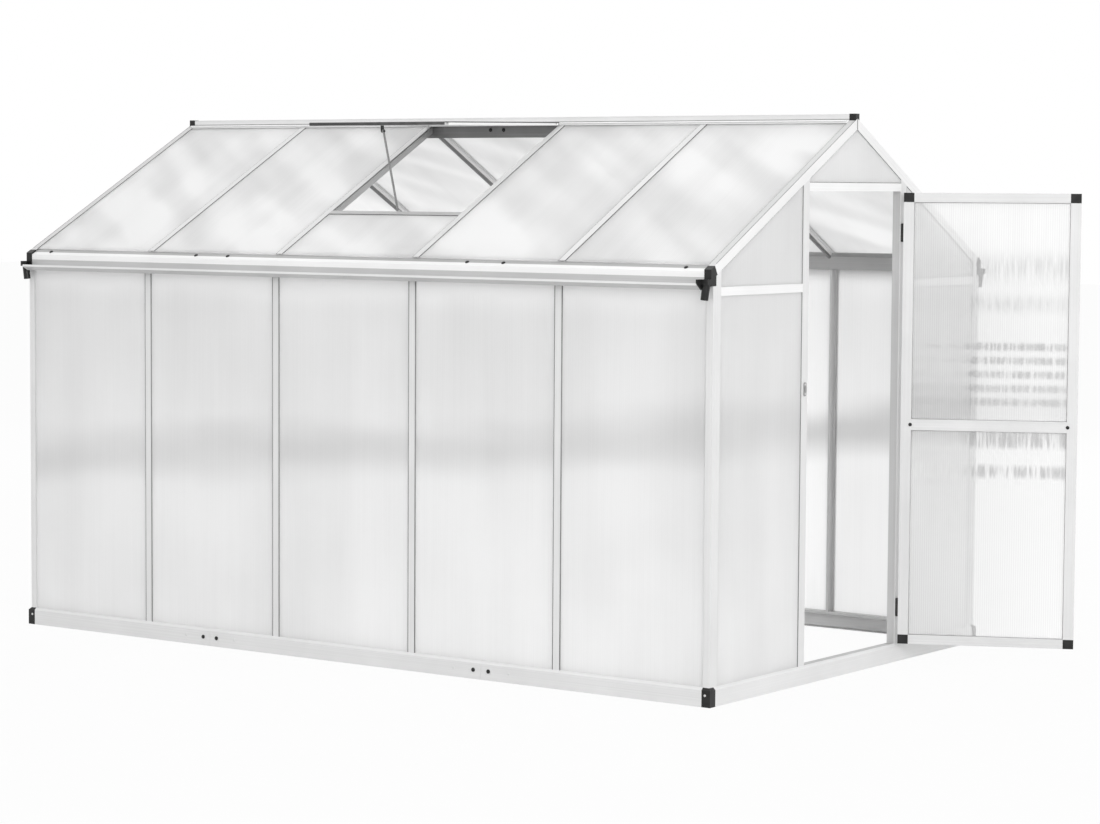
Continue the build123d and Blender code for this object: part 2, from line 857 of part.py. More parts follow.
with BuildPart() as roof_panes_full:
    for i in range(bay_count):
        left, right = bay_span(i)
        with BuildSketch(roof_cross(0, pane_start)):
            slab(-right, -left, -pane_face - pane, -pane_face)
        extrude(amount=pane_end - pane_start)
with BuildPart() as roof_panes_back:
    mirror(roof_panes_full.part, about=Plane.XZ)
roof_panes_back.part.label = "roof_panes_back"
export_step(roof_panes_back.part, "parts/roof_panes_back.step")


def slot_z(y):
    """Height of the pane edge inside the gable rafter slot."""
    return apex_z - gable_pane_lap / cos(p) - abs(y) * tan(p)


# Gable panes
rail_low = rail_z + (rail_face - rail_web) / 2 - slot_play
rail_high = rail_z + (rail_face + rail_web) / 2 + slot_play
gable_edge = wall_y - gable_pane_inset

with BuildPart() as gable_panes_door:
    jamb_edge = doorway / 2 + jamb_face - jamb_slot + slot_play
    top_edge = doorway / 2 - slot_play
    top_foot = header_z + header_tube + slot_play
    with BuildSketch(Plane.YZ.offset(wall_x - pane_face - pane)):
        slab(-gable_edge, -jamb_edge, pane_foot, rail_low)
        Polygon(
            (-gable_edge, rail_high),
            (-jamb_edge, rail_high),
            (-jamb_edge, slot_z(jamb_edge)),
            (-gable_edge, slot_z(gable_edge)),
            align=None,
        )
        mirror(about=Plane.YZ)
        Polygon(
            (-top_edge, top_foot),
            (top_edge, top_foot),
            (top_edge, slot_z(top_edge)),
            (0, slot_z(0)),
            (-top_edge, slot_z(top_edge)),
            align=None,
        )
    extrude(amount=pane)
gable_panes_door.part.label = "gable_panes_door"
export_step(gable_panes_door.part, "parts/gable_panes_door.step")

with BuildPart() as gable_panes_rear:
    outer_edge = rear_stud_y + bar_neck / 2 + edge_play
    inner_edge = rear_stud_y - bar_neck / 2 - edge_play
    with BuildSketch(Plane.YZ.offset(-wall_x + pane_face)):
        slab(-gable_edge, -outer_edge, pane_foot, rail_low)
        Polygon(
            (-gable_edge, rail_high),
            (-outer_edge, rail_high),
            (-outer_edge, slot_z(outer_edge)),
            (-gable_edge, slot_z(gable_edge)),
            align=None,
        )
        mirror(about=Plane.YZ)
        slab(-inner_edge, inner_edge, pane_foot, rail_low)
        Polygon(
            (-inner_edge, rail_high),
            (inner_edge, rail_high),
            (inner_edge, slot_z(inner_edge)),
            (0, slot_z(0)),
            (-inner_edge, slot_z(inner_edge)),
            align=None,
        )
    extrude(amount=pane)
gable_panes_rear.part.label = "gable_panes_rear"
export_step(gable_panes_rear.part, "parts/gable_panes_rear.step")

# Catch plate on the jamb face
with BuildPart() as door_catch:
    catch_y = -doorway / 2 - jamb_face / 2
    with BuildSketch(Plane((wall_x, catch_y, catch_z), x_dir=(0, 0, 1), z_dir=(1, 0, 0))):
        SlotOverall(catch_height, catch_width)
    extrude(amount=catch_sheet)
    block(
        *(wall_x + catch_sheet, wall_x + 2 * catch_sheet),
        *(catch_y - catch_width / 4, catch_y + catch_width / 4),
        *(catch_z - catch_width / 2, catch_z + catch_width / 2),
    )
door_catch.part.label = "door_catch"
export_step(door_catch.part, "parts/door_catch.step")

# Door axes at its open rest place: u across the leaf from the hinge line, v out of its outer face
d = radians(door_rest - 90)
axis_x = wall_x + hinge_out
axis_y = doorway / 2
door_u0 = door_gap
door_u1 = doorway - door_gap
door_v1 = -hinge_out
door_v0 = door_v1 - door_depth
door_mid_v = (door_v0 + door_v1) / 2
door_z0 = base_height + door_floor_gap
door_z1 = header_z - door_head_gap
hinge_zs = [door_z0 + hinge_low, door_z1 - hinge_high]
slot_half = pane / 2 + play
knuckle_half = hinge_height / 6


def door_plan(z):
    """Plan plane of the door with u and v as its axes."""
    return Plane((axis_x, axis_y, z), x_dir=(cos(d), sin(d), 0), z_dir=(0, 0, 1))


def door_run(u, z):
    """Section plane of the door: local x is v, local y is up, it extrudes along u."""
    return Plane(
        (axis_x + u * cos(d), axis_y + u * sin(d), z),
        x_dir=(-sin(d), cos(d), 0),
        z_dir=(cos(d), sin(d), 0),
    )


def stile_section(edge, side):
    """Hollow stile with a pane slot on the side away from the given edge."""
    inner = edge + side * door_stile
    slab(edge, inner, door_v0, door_v1)
    slab(
        *(edge + side * sheet, inner - side * (door_slot + sheet)),
        *(door_v0 + sheet, door_v1 - sheet),
        mode=Mode.SUBTRACT,
    )
    slab(
        *(inner - side * door_slot, inner),
        *(door_mid_v - slot_half, door_mid_v + slot_half),
        mode=Mode.SUBTRACT,
    )


def door_slot_cut(z0, z1):
    """Pane slot along the edge of a door rail."""
    slab(door_mid_v - slot_half, door_mid_v + slot_half, z0, z1, mode=Mode.SUBTRACT)


rail_u = door_u0 + door_stile
rail_run = door_u1 - door_u0 - 2 * door_stile
stile_foot = door_z0 + door_rail
stile_run = door_z1 - door_z0 - 2 * door_rail
mid_foot = door_mid_height - door_mid_rail_face / 2

with BuildPart() as door_stile_hinge:
    with BuildSketch(door_plan(stile_foot)):
        stile_section(door_u0, 1)
    extrude(amount=stile_run)
door_stile_hinge.part.label = "door_stile_hinge"
export_step(door_stile_hinge.part, "parts/door_stile_hinge.step")

with BuildPart() as door_stile_free:
    with BuildSketch(door_plan(stile_foot)):
        stile_section(door_u1, -1)
    extrude(amount=stile_run)
door_stile_free.part.label = "door_stile_free"
export_step(door_stile_free.part, "parts/door_stile_free.step")

with BuildPart() as door_top_rail:
    with BuildSketch(door_run(rail_u, door_z1 - door_rail)):
        slab(door_v0, door_v1, 0, door_rail)
        door_slot_cut(0, door_slot)
    extrude(amount=rail_run)
door_top_rail.part.label = "door_top_rail"
export_step(door_top_rail.part, "parts/door_top_rail.step")

with BuildPart() as door_mid_rail:
    with BuildSketch(door_run(rail_u, mid_foot)):
        slab(door_v0, door_v1, 0, door_mid_rail_face)
        door_slot_cut(0, door_slot)
        door_slot_cut(door_mid_rail_face - door_slot, door_mid_rail_face)
    extrude(amount=rail_run)
door_mid_rail.part.label = "door_mid_rail"
export_step(door_mid_rail.part, "parts/door_mid_rail.step")

with BuildPart() as door_bottom_rail:
    with BuildSketch(door_run(rail_u, door_z0)):
        slab(door_v0, door_v1, 0, door_rail)
        door_slot_cut(door_rail - door_slot, door_rail)
    extrude(amount=rail_run)
door_bottom_rail.part.label = "door_bottom_rail"
export_step(door_bottom_rail.part, "parts/door_bottom_rail.step")

with BuildPart() as door_panes:
    bite = door_slot - slot_play
    for foot, head in (
        (stile_foot - bite, mid_foot + bite),
        (mid_foot + door_mid_rail_face - bite, stile_foot + stile_run + bite),
    ):
        with BuildSketch(door_plan(foot)):
            slab(
                *(rail_u - bite, rail_u + rail_run + bite),
                *(door_mid_v - pane / 2, door_mid_v + pane / 2),
            )
        extrude(amount=head - foot)
door_panes.part.label = "door_panes"
export_step(door_panes.part, "parts/door_panes.step")

with BuildPart() as door_corner_caps:
    for z in (door_z0, door_z1 - door_rail):
        for u in (door_u0, door_u1 - door_stile):
            with BuildSketch(door_plan(z)):
                slab(u, u + door_stile, door_v0 - corner_proud, door_v1 + corner_proud)
            extrude(amount=door_rail)
    with BuildSketch(door_plan(stile_foot - door_slot)):
        slab(
            *(rail_u - door_slot, rail_u + rail_run + door_slot),
            *(door_mid_v - slot_half, door_mid_v + slot_half),
        )
    extrude(amount=stile_run + 2 * door_slot, mode=Mode.SUBTRACT)
door_corner_caps.part.label = "door_corner_caps"
export_step(door_corner_caps.part, "parts/door_corner_caps.step")

# Hinges: fixed leaf with two knuckles, door leaf with one between them, loose pin
with BuildPart() as hinge_jamb_leaves:
    for z in hinge_zs:
        block(
            *(wall_x, wall_x + leaf_sheet),
            *(axis_y + knuckle_radius + slot_play, axis_y + leaf_width),
            *(z - hinge_height / 2, z + hinge_height / 2),
        )
        for side in (-1, 1):
            low = z + side * hinge_height / 3
            block(
                *(wall_x, wall_x + leaf_sheet),
                *(axis_y, axis_y + knuckle_radius + slot_play),
                *(low - knuckle_half, low + knuckle_half),
            )
            with Locations((axis_x, axis_y, low)):
                Cylinder(knuckle_radius, 2 * knuckle_half)
        with Locations((axis_x, axis_y, z)):
            Cylinder(pin_radius + pin_clearance, 2 * hinge_height, mode=Mode.SUBTRACT)
hinge_jamb_leaves.part.label = "hinge_jamb_leaves"
export_step(hinge_jamb_leaves.part, "parts/hinge_jamb_leaves.step")

with BuildPart() as hinge_pins:
    for z in hinge_zs:
        with Locations((axis_x, axis_y, z)):
            Cylinder(pin_radius, hinge_height)
        for side in (-1, 1):
            with Locations((axis_x, axis_y, z + side * (hinge_height + leaf_sheet) / 2)):
                Cylinder(knuckle_radius - slot_play, leaf_sheet)
hinge_pins.part.label = "hinge_pins"
export_step(hinge_pins.part, "parts/hinge_pins.step")

with BuildPart() as hinge_door_leaves:
    for z in hinge_zs:
        with BuildSketch(door_plan(z - hinge_height / 2)):
            slab(knuckle_radius + slot_play, leaf_width, door_v1, door_v1 + leaf_sheet)
        extrude(amount=hinge_height)
        with BuildSketch(door_plan(z - knuckle_half + play)):
            slab(0, knuckle_radius + slot_play, door_v1, door_v1 + leaf_sheet)
            Circle(knuckle_radius)
        extrude(amount=2 * (knuckle_half - play))
        with BuildSketch(door_plan(z - hinge_height)):
            Circle(pin_radius + pin_clearance)
        extrude(amount=2 * hinge_height, mode=Mode.SUBTRACT)
hinge_door_leaves.part.label = "hinge_door_leaves"
export_step(hinge_door_leaves.part, "parts/hinge_door_leaves.step")

# Roof vent at its open rest place
with BuildPart() as vent_hinge_rail:
    body = -hook_radius - ridge_sheet - slot_play
    with BuildSketch(vent_side(vent_x - vent_half)):
        Circle(bead_radius)
        slab(body, 0, -bead_neck / 2, bead_neck / 2)
        slab(body - vent_rail, body, vent_low, vent_low + vent_depth)
        slab(
            *(body - vent_rail, body - vent_rail + vent_slot),
            *(vent_mid - slot_half, vent_mid + slot_half),
            mode=Mode.SUBTRACT,
        )
    extrude(amount=2 * vent_half)
vent_hinge_rail.part.label = "vent_hinge_rail"
export_step(vent_hinge_rail.part, "parts/vent_hinge_rail.step")

with BuildPart() as vent_lower_rail:
    rail_top = vent_rail - vent_length
    with BuildSketch(vent_side(vent_x - vent_half)):
        slab(-vent_length, rail_top, vent_low, vent_low + vent_depth)
        slab(
            *(rail_top - vent_slot, rail_top),
            *(vent_mid - slot_half, vent_mid + slot_half),
            mode=Mode.SUBTRACT,
        )
    extrude(amount=2 * vent_half)
vent_lower_rail.part.label = "vent_lower_rail"
export_step(vent_lower_rail.part, "parts/vent_lower_rail.step")

with BuildPart() as vent_side_rails:
    side_head = body - vent_rail
    side_in = vent_half - vent_rail
    side_top = Plane(
        (vent_x, hinge_y + side_head * cos(q), hinge_z + side_head * sin(q)),
        x_dir=(1, 0, 0),
        z_dir=(0, -cos(q), -sin(q)),
    )
    with BuildSketch(side_top):
        slab(side_in, vent_half, vent_low, vent_low + vent_depth)
        slab(
            *(side_in, side_in + vent_slot),
            *(vent_mid - slot_half, vent_mid + slot_half),
            mode=Mode.SUBTRACT,
        )
        mirror(about=Plane.YZ)
    extrude(amount=side_head - rail_top)
vent_side_rails.part.label = "vent_side_rails"
export_step(vent_side_rails.part, "parts/vent_side_rails.step")

with BuildPart() as vent_pane:
    vent_bite = vent_slot - slot_play
    with BuildSketch(vent_side(vent_x - side_in - vent_bite)):
        slab(rail_top - vent_bite, side_head + vent_bite, vent_mid - pane / 2, vent_mid + pane / 2)
    extrude(amount=2 * (side_in + vent_bite))
vent_pane.part.label = "vent_pane"
export_step(vent_pane.part, "parts/vent_pane.step")

# Bracket under the vent with the pin that carries the stay
with BuildPart() as stay_bracket:
    with BuildSketch(vent_side(vent_x - stay_half - play - bracket_sheet)):
        Polygon(
            (rail_top, vent_low),
            (bracket_s, vent_low),
            (stay_s - eye_radius, stay_n),
            (stay_s + eye_radius, stay_n),
            (stay_s + eye_radius, vent_mid - slot_half),
            (rail_top, vent_mid - slot_half),
            align=None,
        )
        with Locations((stay_s, stay_n)):
            Circle(eye_radius)
    extrude(amount=bracket_sheet)
    with BuildSketch(vent_side(vent_x - stay_half - play)):
        with Locations((stay_s, stay_n)):
            Circle(pin_radius)
    extrude(amount=stay_sheet + 2 * play)
    with BuildSketch(vent_side(vent_x + stay_half + play)):
        with Locations((stay_s, stay_n)):
            Circle(eye_radius - slot_play)
    extrude(amount=leaf_sheet)
stay_bracket.part.label = "stay_bracket"
export_step(stay_bracket.part, "parts/stay_bracket.step")

# Stay bar from the bracket pin to the peg on the sill
with BuildPart() as vent_stay:
    stay_line = (0, (peg_y - pin_y) / stay_length, (peg_z - pin_z) / stay_length)
    with BuildSketch(Plane((vent_x - stay_half, pin_y, pin_z), x_dir=stay_line, z_dir=(1, 0, 0))):
        Circle(eye_radius)
        slab(0, stay_length + stay_tail, -stay_face / 2, stay_face / 2)
        with Locations((stay_length + stay_tail, 0)):
            Circle(stay_face / 2)
        Circle(pin_radius + pin_clearance, mode=Mode.SUBTRACT)
        for k in range(4):
            with Locations((stay_length - k * stay_hole_step, 0)):
                Circle(stay_face / 4, mode=Mode.SUBTRACT)
    extrude(amount=stay_sheet)
vent_stay.part.label = "vent_stay"
export_step(vent_stay.part, "parts/vent_stay.step")
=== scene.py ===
"""Looks of the greenhouse: finishes of its solids, sealing beads, fixings, floor, light, camera.

Metres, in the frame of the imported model: the ridge runs along X with the door gable at +X,
the front wall is at -Y and Z is up.
"""

from math import cos, pi, radians, sin, tan

import bmesh
import bpy
from mathutils import Matrix, Vector


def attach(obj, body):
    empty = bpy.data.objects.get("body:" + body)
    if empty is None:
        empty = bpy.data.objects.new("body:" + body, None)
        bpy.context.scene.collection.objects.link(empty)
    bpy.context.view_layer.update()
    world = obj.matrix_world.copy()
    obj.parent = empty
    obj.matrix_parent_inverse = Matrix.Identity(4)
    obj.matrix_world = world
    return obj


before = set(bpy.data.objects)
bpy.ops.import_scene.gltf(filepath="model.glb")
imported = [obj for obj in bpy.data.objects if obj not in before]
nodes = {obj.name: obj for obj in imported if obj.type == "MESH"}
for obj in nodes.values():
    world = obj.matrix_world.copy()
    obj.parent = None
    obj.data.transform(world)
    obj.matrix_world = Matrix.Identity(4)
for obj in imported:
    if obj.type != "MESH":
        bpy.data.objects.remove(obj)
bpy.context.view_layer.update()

# Walls and roof
HALF_WIDTH = 0.900
WALL_X = 1.507
WALL_Y = 0.892
EAVE_Z = 1.398
PITCH = radians(28.5)
APEX_Z = EAVE_Z + WALL_Y * tan(PITCH)
SLOPE = WALL_Y / cos(PITCH)
BASE_TOP = 0.062
STUD_XS = (-0.909, -0.303, 0.303, 0.909)
SPLICE_XS = (-0.606, 0.606)

# Faces of the profiles
BAR_FACE = 0.025
POST_FACE = 0.025
POST_GABLE = 0.046
RAFTER_FACE = 0.032
STUD_HEAD = 1.346
JAMB_FACE = 0.038
HEADER_FACE = 0.028
HALF_DOORWAY = 0.308
HEADER_Z = 1.638
REAR_STUD_Y = 0.327
PANE_DROP = 0.0018
PANE_HALF = 0.002
PANE_START = 0.022
LEDGE_DROP = 0.0061
SILL_LOW = 0.312
RIDGE_HALF = 0.010
RIDGE_EDGE = 0.0015
RIDGE_SHEET = 0.002
RIDGE_WING = 0.032
WEB_HALF = 0.008
WEB_MID = 0.030
BEAM_END = 1.4815
EAVE_BAND_DROP = 0.032
RIM_OUT = 0.058
RIM_DROP = 0.0575
MOULDED_EDGE = 0.0016

# Where the tones of the profiles change: depths behind the outer faces over which the inside
# and the inner edges begin, the least rise of a face that looks up, and shares for the gutters,
# which set painted light on their rims and painted shade on their ledges
INSIDE_DEPTHS = (0.003, 0.005)
EDGE_DEPTHS = (0.022, 0.026)
LOOKS_UP = 0.5
RIM_LIGHT = 0.65
LEDGE_SHADE = 0.25
TONE_SPAN = 0.04
DRAWN_LINE = (0.9, 0.0016, 0.0016)

# Door: u runs from the hinge line along the leaf, v out of its outer face
DOOR_AXIS = Vector((1.513, HALF_DOORWAY, 0.0))
DOOR_TURN = radians(25.0)
DOOR_U = Vector((cos(DOOR_TURN), sin(DOOR_TURN), 0.0))
DOOR_V = Vector((-sin(DOOR_TURN), cos(DOOR_TURN), 0.0))
DOOR_FACES = ((-0.006, 1), (-0.026, -1))
DOOR_PANE_FACES = ((-0.014, 1), (-0.018, -1))
DOOR_STILES = (0.042, 0.574)
DOOR_PANE_SPANS = ((0.099, 0.814), (0.852, 1.602))
DOOR_MID_Z = 0.833
DOOR_SCREW_US = (0.039, 0.577)
CATCH = Vector((1.510, -0.327, 0.985))
CATCH_STEP = 0.0155

# Roof vent: s runs up the leaf from its hinge line, n out of its outer face
HOOK = 0.0053
VENT_OPEN = radians(27.5)
VENT_HALF = 0.300
VENT_LAP = 0.010
VENT_GAP = 0.0005
VENT_LENGTH = SLOPE - RIDGE_WING - SILL_LOW + VENT_LAP
VENT_LOW = VENT_GAP - HOOK
VENT_DEPTH = 0.012
VENT_HEAD = -0.0083
VENT_RAIL = 0.022

# Twin-wall sheets: flutes, sizes of what clouds them along and across their flutes and of their
# pale bands of painted reflection, and heights at which painted light and shade change their tone
FLUTE_PITCH = 0.0075
CLOUDS_PER_METRE = 1.5
STREAK = (1.3, 0.17, 0.17)
THREAD = (0.60, 0.006, 0.006)
THREAD_SHARE = 0.04
BEAM = (0.9, 0.16, 0.16)
BEAM_ACROSS = 0.79
BEAM_ALONG = 0.61
LOWER_ZS = (0.60, 1.05)
BROW_ZS = (1.20, 1.34)
PEAK_ZS = (1.50, 1.85)

# The band of painted shade across the walls rises along X and wanders up and down
BAND_Z = 0.745
BACK_BAND_Z = 0.67
BAND_HALF = 0.14
BAND_RISE = 0.07
WANDER = (0.9, 0.9, 0.25)
WANDER_RANGE = 0.20

# The door's rows of ticks, painted shade for what shows through it, each with its height, half
# its width and its strength
TICK_ROWS = (
    (1.380, 0.080, 0.35),
    (1.255, 0.050, 0.30),
    (1.107, 0.020, 1.00),
    (1.059, 0.020, 0.85),
    (1.011, 0.020, 0.85),
    (0.963, 0.020, 0.75),
    (0.916, 0.020, 0.65),
    (0.787, 0.050, 0.95),
    (0.675, 0.040, 0.85),
)
TICK = (0.12, 0.008, 0.008)
TICK_SHADE = 2.0
TICKS_START = 0.21
TICKS_FADE = 0.06

# Directions that profiles and flutes follow
X_AXIS = Vector((1, 0, 0))
Y_AXIS = Vector((0, 1, 0))
Z_AXIS = Vector((0, 0, 1))
UP_FRONT = Vector((0, cos(PITCH), sin(PITCH)))
UP_BACK = Vector((0, -cos(PITCH), sin(PITCH)))
OUT_FRONT = Vector((0, -sin(PITCH), cos(PITCH)))
OUT_BACK = Vector((0, sin(PITCH), cos(PITCH)))
VENT_TURN = PITCH - VENT_OPEN
UP_VENT = Vector((0, cos(VENT_TURN), sin(VENT_TURN)))
OUT_VENT = Vector((0, -sin(VENT_TURN), cos(VENT_TURN)))


# Materials

# Sockets of the colour Mix node by number, because its names repeat
MIX_SHARE, MIX_LOW, MIX_HIGH, MIX_RESULT = 0, 6, 7, 2


def grey(level):
    """Opaque grey colour."""
    return (level, level, level, 1.0)


class Finish:
    """A material's node tree, with short ways to add nodes to it."""

    def __init__(self, name):
        self.material = bpy.data.materials.new(name)
        self.material.use_nodes = True
        self.tree = self.material.node_tree
        self.tree.nodes.clear()
        self.output = self.tree.nodes.new("ShaderNodeOutputMaterial")
        coordinates = self.node("ShaderNodeTexCoord")
        self.place = coordinates.outputs["Object"]
        self.facing = coordinates.outputs["Normal"]

    def node(self, kind, inputs=(), **settings):
        """New node; a value in inputs is either a socket to link or a constant."""
        made = self.tree.nodes.new(kind)
        for key, value in settings.items():
            setattr(made, key, value)
        for key, value in dict(inputs).items():
            if isinstance(value, bpy.types.NodeSocket):
                self.tree.links.new(value, made.inputs[key])
            else:
                made.inputs[key].default_value = value
        return made

    def noise(self, scale, detail=2.0, vector=None):
        """Soft noise from 0 to 1, in waves per metre."""
        made = self.node(
            "ShaderNodeTexNoise",
            {"Vector": vector or self.place, "Scale": scale, "Detail": detail},
        )
        return made.outputs["Fac"]

    def drawn(self, along, size, detail=3.0):
        """Noise whose size is given along a direction and in the two directions across it."""
        turned = self.node(
            "ShaderNodeMapping",
            {
                "Vector": self.place,
                "Rotation": X_AXIS.rotation_difference(along).to_euler(),
                "Scale": size,
            },
            vector_type="TEXTURE",
        )
        return self.noise(1.0, detail, turned.outputs["Vector"])

    def spread(self, value, low, high, from_low=0.3, from_high=0.7):
        """The value's usual range moved to low and high."""
        made = self.node(
            "ShaderNodeMapRange",
            {
                "Value": value,
                "From Min": from_low,
                "From Max": from_high,
                "To Min": low,
                "To Max": high,
            },
            interpolation_type="SMOOTHSTEP",
        )
        return made.outputs["Result"]

    def math(self, operation, *values):
        """Result of one arithmetic step on sockets and constants."""
        made = self.node("ShaderNodeMath", enumerate(values), operation=operation)
        return made.outputs["Value"]

    def total(self, start, *weighted):
        """A starting value plus other values, each with its weight."""
        result = start
        for value, weight in weighted:
            result = self.math("MULTIPLY_ADD", value, weight, result)
        return result

    def blend(self, share, low, high):
        """Colour between two colours or colour sockets."""
        made = self.node(
            "ShaderNodeMix",
            {MIX_SHARE: share, MIX_LOW: low, MIX_HIGH: high},
            data_type="RGBA",
        )
        return made.outputs[MIX_RESULT]

    def axes(self, vector=None):
        """X, Y and Z of a vector, or of the place."""
        return self.node("ShaderNodeSeparateXYZ", {"Vector": vector or self.place}).outputs

    def distance(self, direction):
        """How far the place is along a direction."""
        vectors = {0: self.place, 1: direction}
        made = self.node("ShaderNodeVectorMath", vectors, operation="DOT_PRODUCT")
        return made.outputs["Value"]

    def depth(self):
        """Distance behind the outer faces of the glazed shell."""
        x, y, z = self.axes()
        across = self.math("ABSOLUTE", y)
        end = self.math("SUBTRACT", WALL_X, self.math("ABSOLUTE", x))
        side = self.math("SUBTRACT", WALL_Y, across)
        fall = self.math("MULTIPLY", across, tan(PITCH))
        roof = self.math("SUBTRACT", self.math("SUBTRACT", APEX_Z, z), fall)
        return self.math("MINIMUM", self.math("MINIMUM", end, side), roof)

    def indoors(self):
        """0 on the outer faces of the glazed shell, 1 behind its panes, where the painted inside
        tone goes.
        """
        return self.spread(self.depth(), 0.0, 1.0, *INSIDE_DEPTHS)

    def deep(self):
        """1 on the inner edges of the roof bars, where painted shade goes, 0 on the rest of them.
        """
        return self.spread(self.depth(), 0.0, 1.0, *EDGE_DEPTHS)

    def trough(self):
        """Share of painted shade on the gutters: 1 in and under them, 0 on the bands above them,
        less on their rims and ledges.
        """
        _, y, z = self.axes()
        out = self.math("SUBTRACT", self.math("ABSOLUTE", y), WALL_Y)
        drop = self.math("SUBTRACT", EAVE_Z, z)
        below_band = self.math("GREATER_THAN", drop, EAVE_BAND_DROP)
        on_rim = self.math("GREATER_THAN", out, RIM_OUT)
        above_rim_foot = self.math("LESS_THAN", drop, RIM_DROP)
        rim = self.math("MULTIPLY", self.math("MULTIPLY", on_rim, above_rim_foot), RIM_LIGHT)
        ledge = self.math("MULTIPLY", self.upward(), LEDGE_SHADE)
        return self.math("MAXIMUM", self.math("SUBTRACT", below_band, rim), ledge)

    def upward(self):
        """1 on faces that look up, 0 on the rest; it places painted shade on the rafter tops and
        gutter ledges.
        """
        return self.math("GREATER_THAN", self.axes(self.facing)["Z"], LOOKS_UP)

    def wing(self):
        """1 on the sloping sides of the ridge, where painted light goes, 0 on its raised top."""
        across = self.math("ABSOLUTE", self.axes()["Y"])
        return self.math("GREATER_THAN", across, RIDGE_HALF + RIDGE_EDGE)

    def hump(self, value, middle, half):
        """1 at the middle, falling off softly to 0 at half on both sides."""
        away = self.math("DIVIDE", self.math("SUBTRACT", value, middle), half)
        fall = self.math("SUBTRACT", 1.0, self.math("POWER", away, 2.0))
        return self.math("POWER", self.math("MAXIMUM", fall, 0.0), 2.0)

    def bump(self, height, strength, distance):
        """Normal of a fine relief."""
        made = self.node(
            "ShaderNodeBump",
            {"Height": height, "Strength": strength, "Distance": distance},
        )
        return made.outputs["Normal"]

    def principled(self, **inputs):
        """Shader whose inputs are named in small letters."""
        named = {key.replace("_", " ").title(): value for key, value in inputs.items()}
        named = {key.replace("Ior", "IOR"): value for key, value in named.items()}
        return self.node("ShaderNodeBsdfPrincipled", named).outputs["BSDF"]

    def mix(self, share, first, second):
        """Shader between two shaders."""
        return self.node("ShaderNodeMixShader", {0: share, 1: first, 2: second}).outputs["Shader"]

    def show(self, shader):
        """Puts the shader on the surface and gives the finished material."""
        self.tree.links.new(shader, self.output.inputs["Surface"])
        return self.material


def aluminium(name, along, satin, painted_inside_tone, edge=None, zone=None, painted_zone_tone=None):
    """Satin extruded aluminium with fine drawing lines.

    Its faces behind the panes take a painted tone: painted shade, and painted light on the sides of
    the back roof bars. Inner edges get painted shade, and one zone a painted tone of light or
    shade.
    """
    f = Finish(name)
    lines = f.drawn(along, DRAWN_LINE)
    patches = f.noise(5.0)
    tone = f.spread(f.total(0.0, (lines, 0.6), (patches, 0.4)), 0.0, 1.0)

    def tones(middle):
        return f.blend(tone, grey(middle - TONE_SPAN), grey(middle + TONE_SPAN))

    outer = tones(satin)
    # Painted light on the ridge wings, painted shade in the gutters and on the rafter tops
    if zone:
        outer = f.blend(zone(f), outer, tones(painted_zone_tone))
    # Painted shade behind the panes, painted light on the sides of the back roof bars, painted
    # shade on their inner edges
    inner = tones(painted_inside_tone)
    if edge:
        inner = f.blend(f.deep(), inner, tones(edge))
    inside = f.indoors()
    return f.show(
        f.principled(
            base_color=f.blend(inside, outer, inner),
            metallic=f.spread(inside, 0.12, 0.40, 0.0, 1.0),
            roughness=f.spread(lines, 0.38, 0.50),
            normal=f.bump(lines, strength=0.08, distance=0.0003),
        )
    )


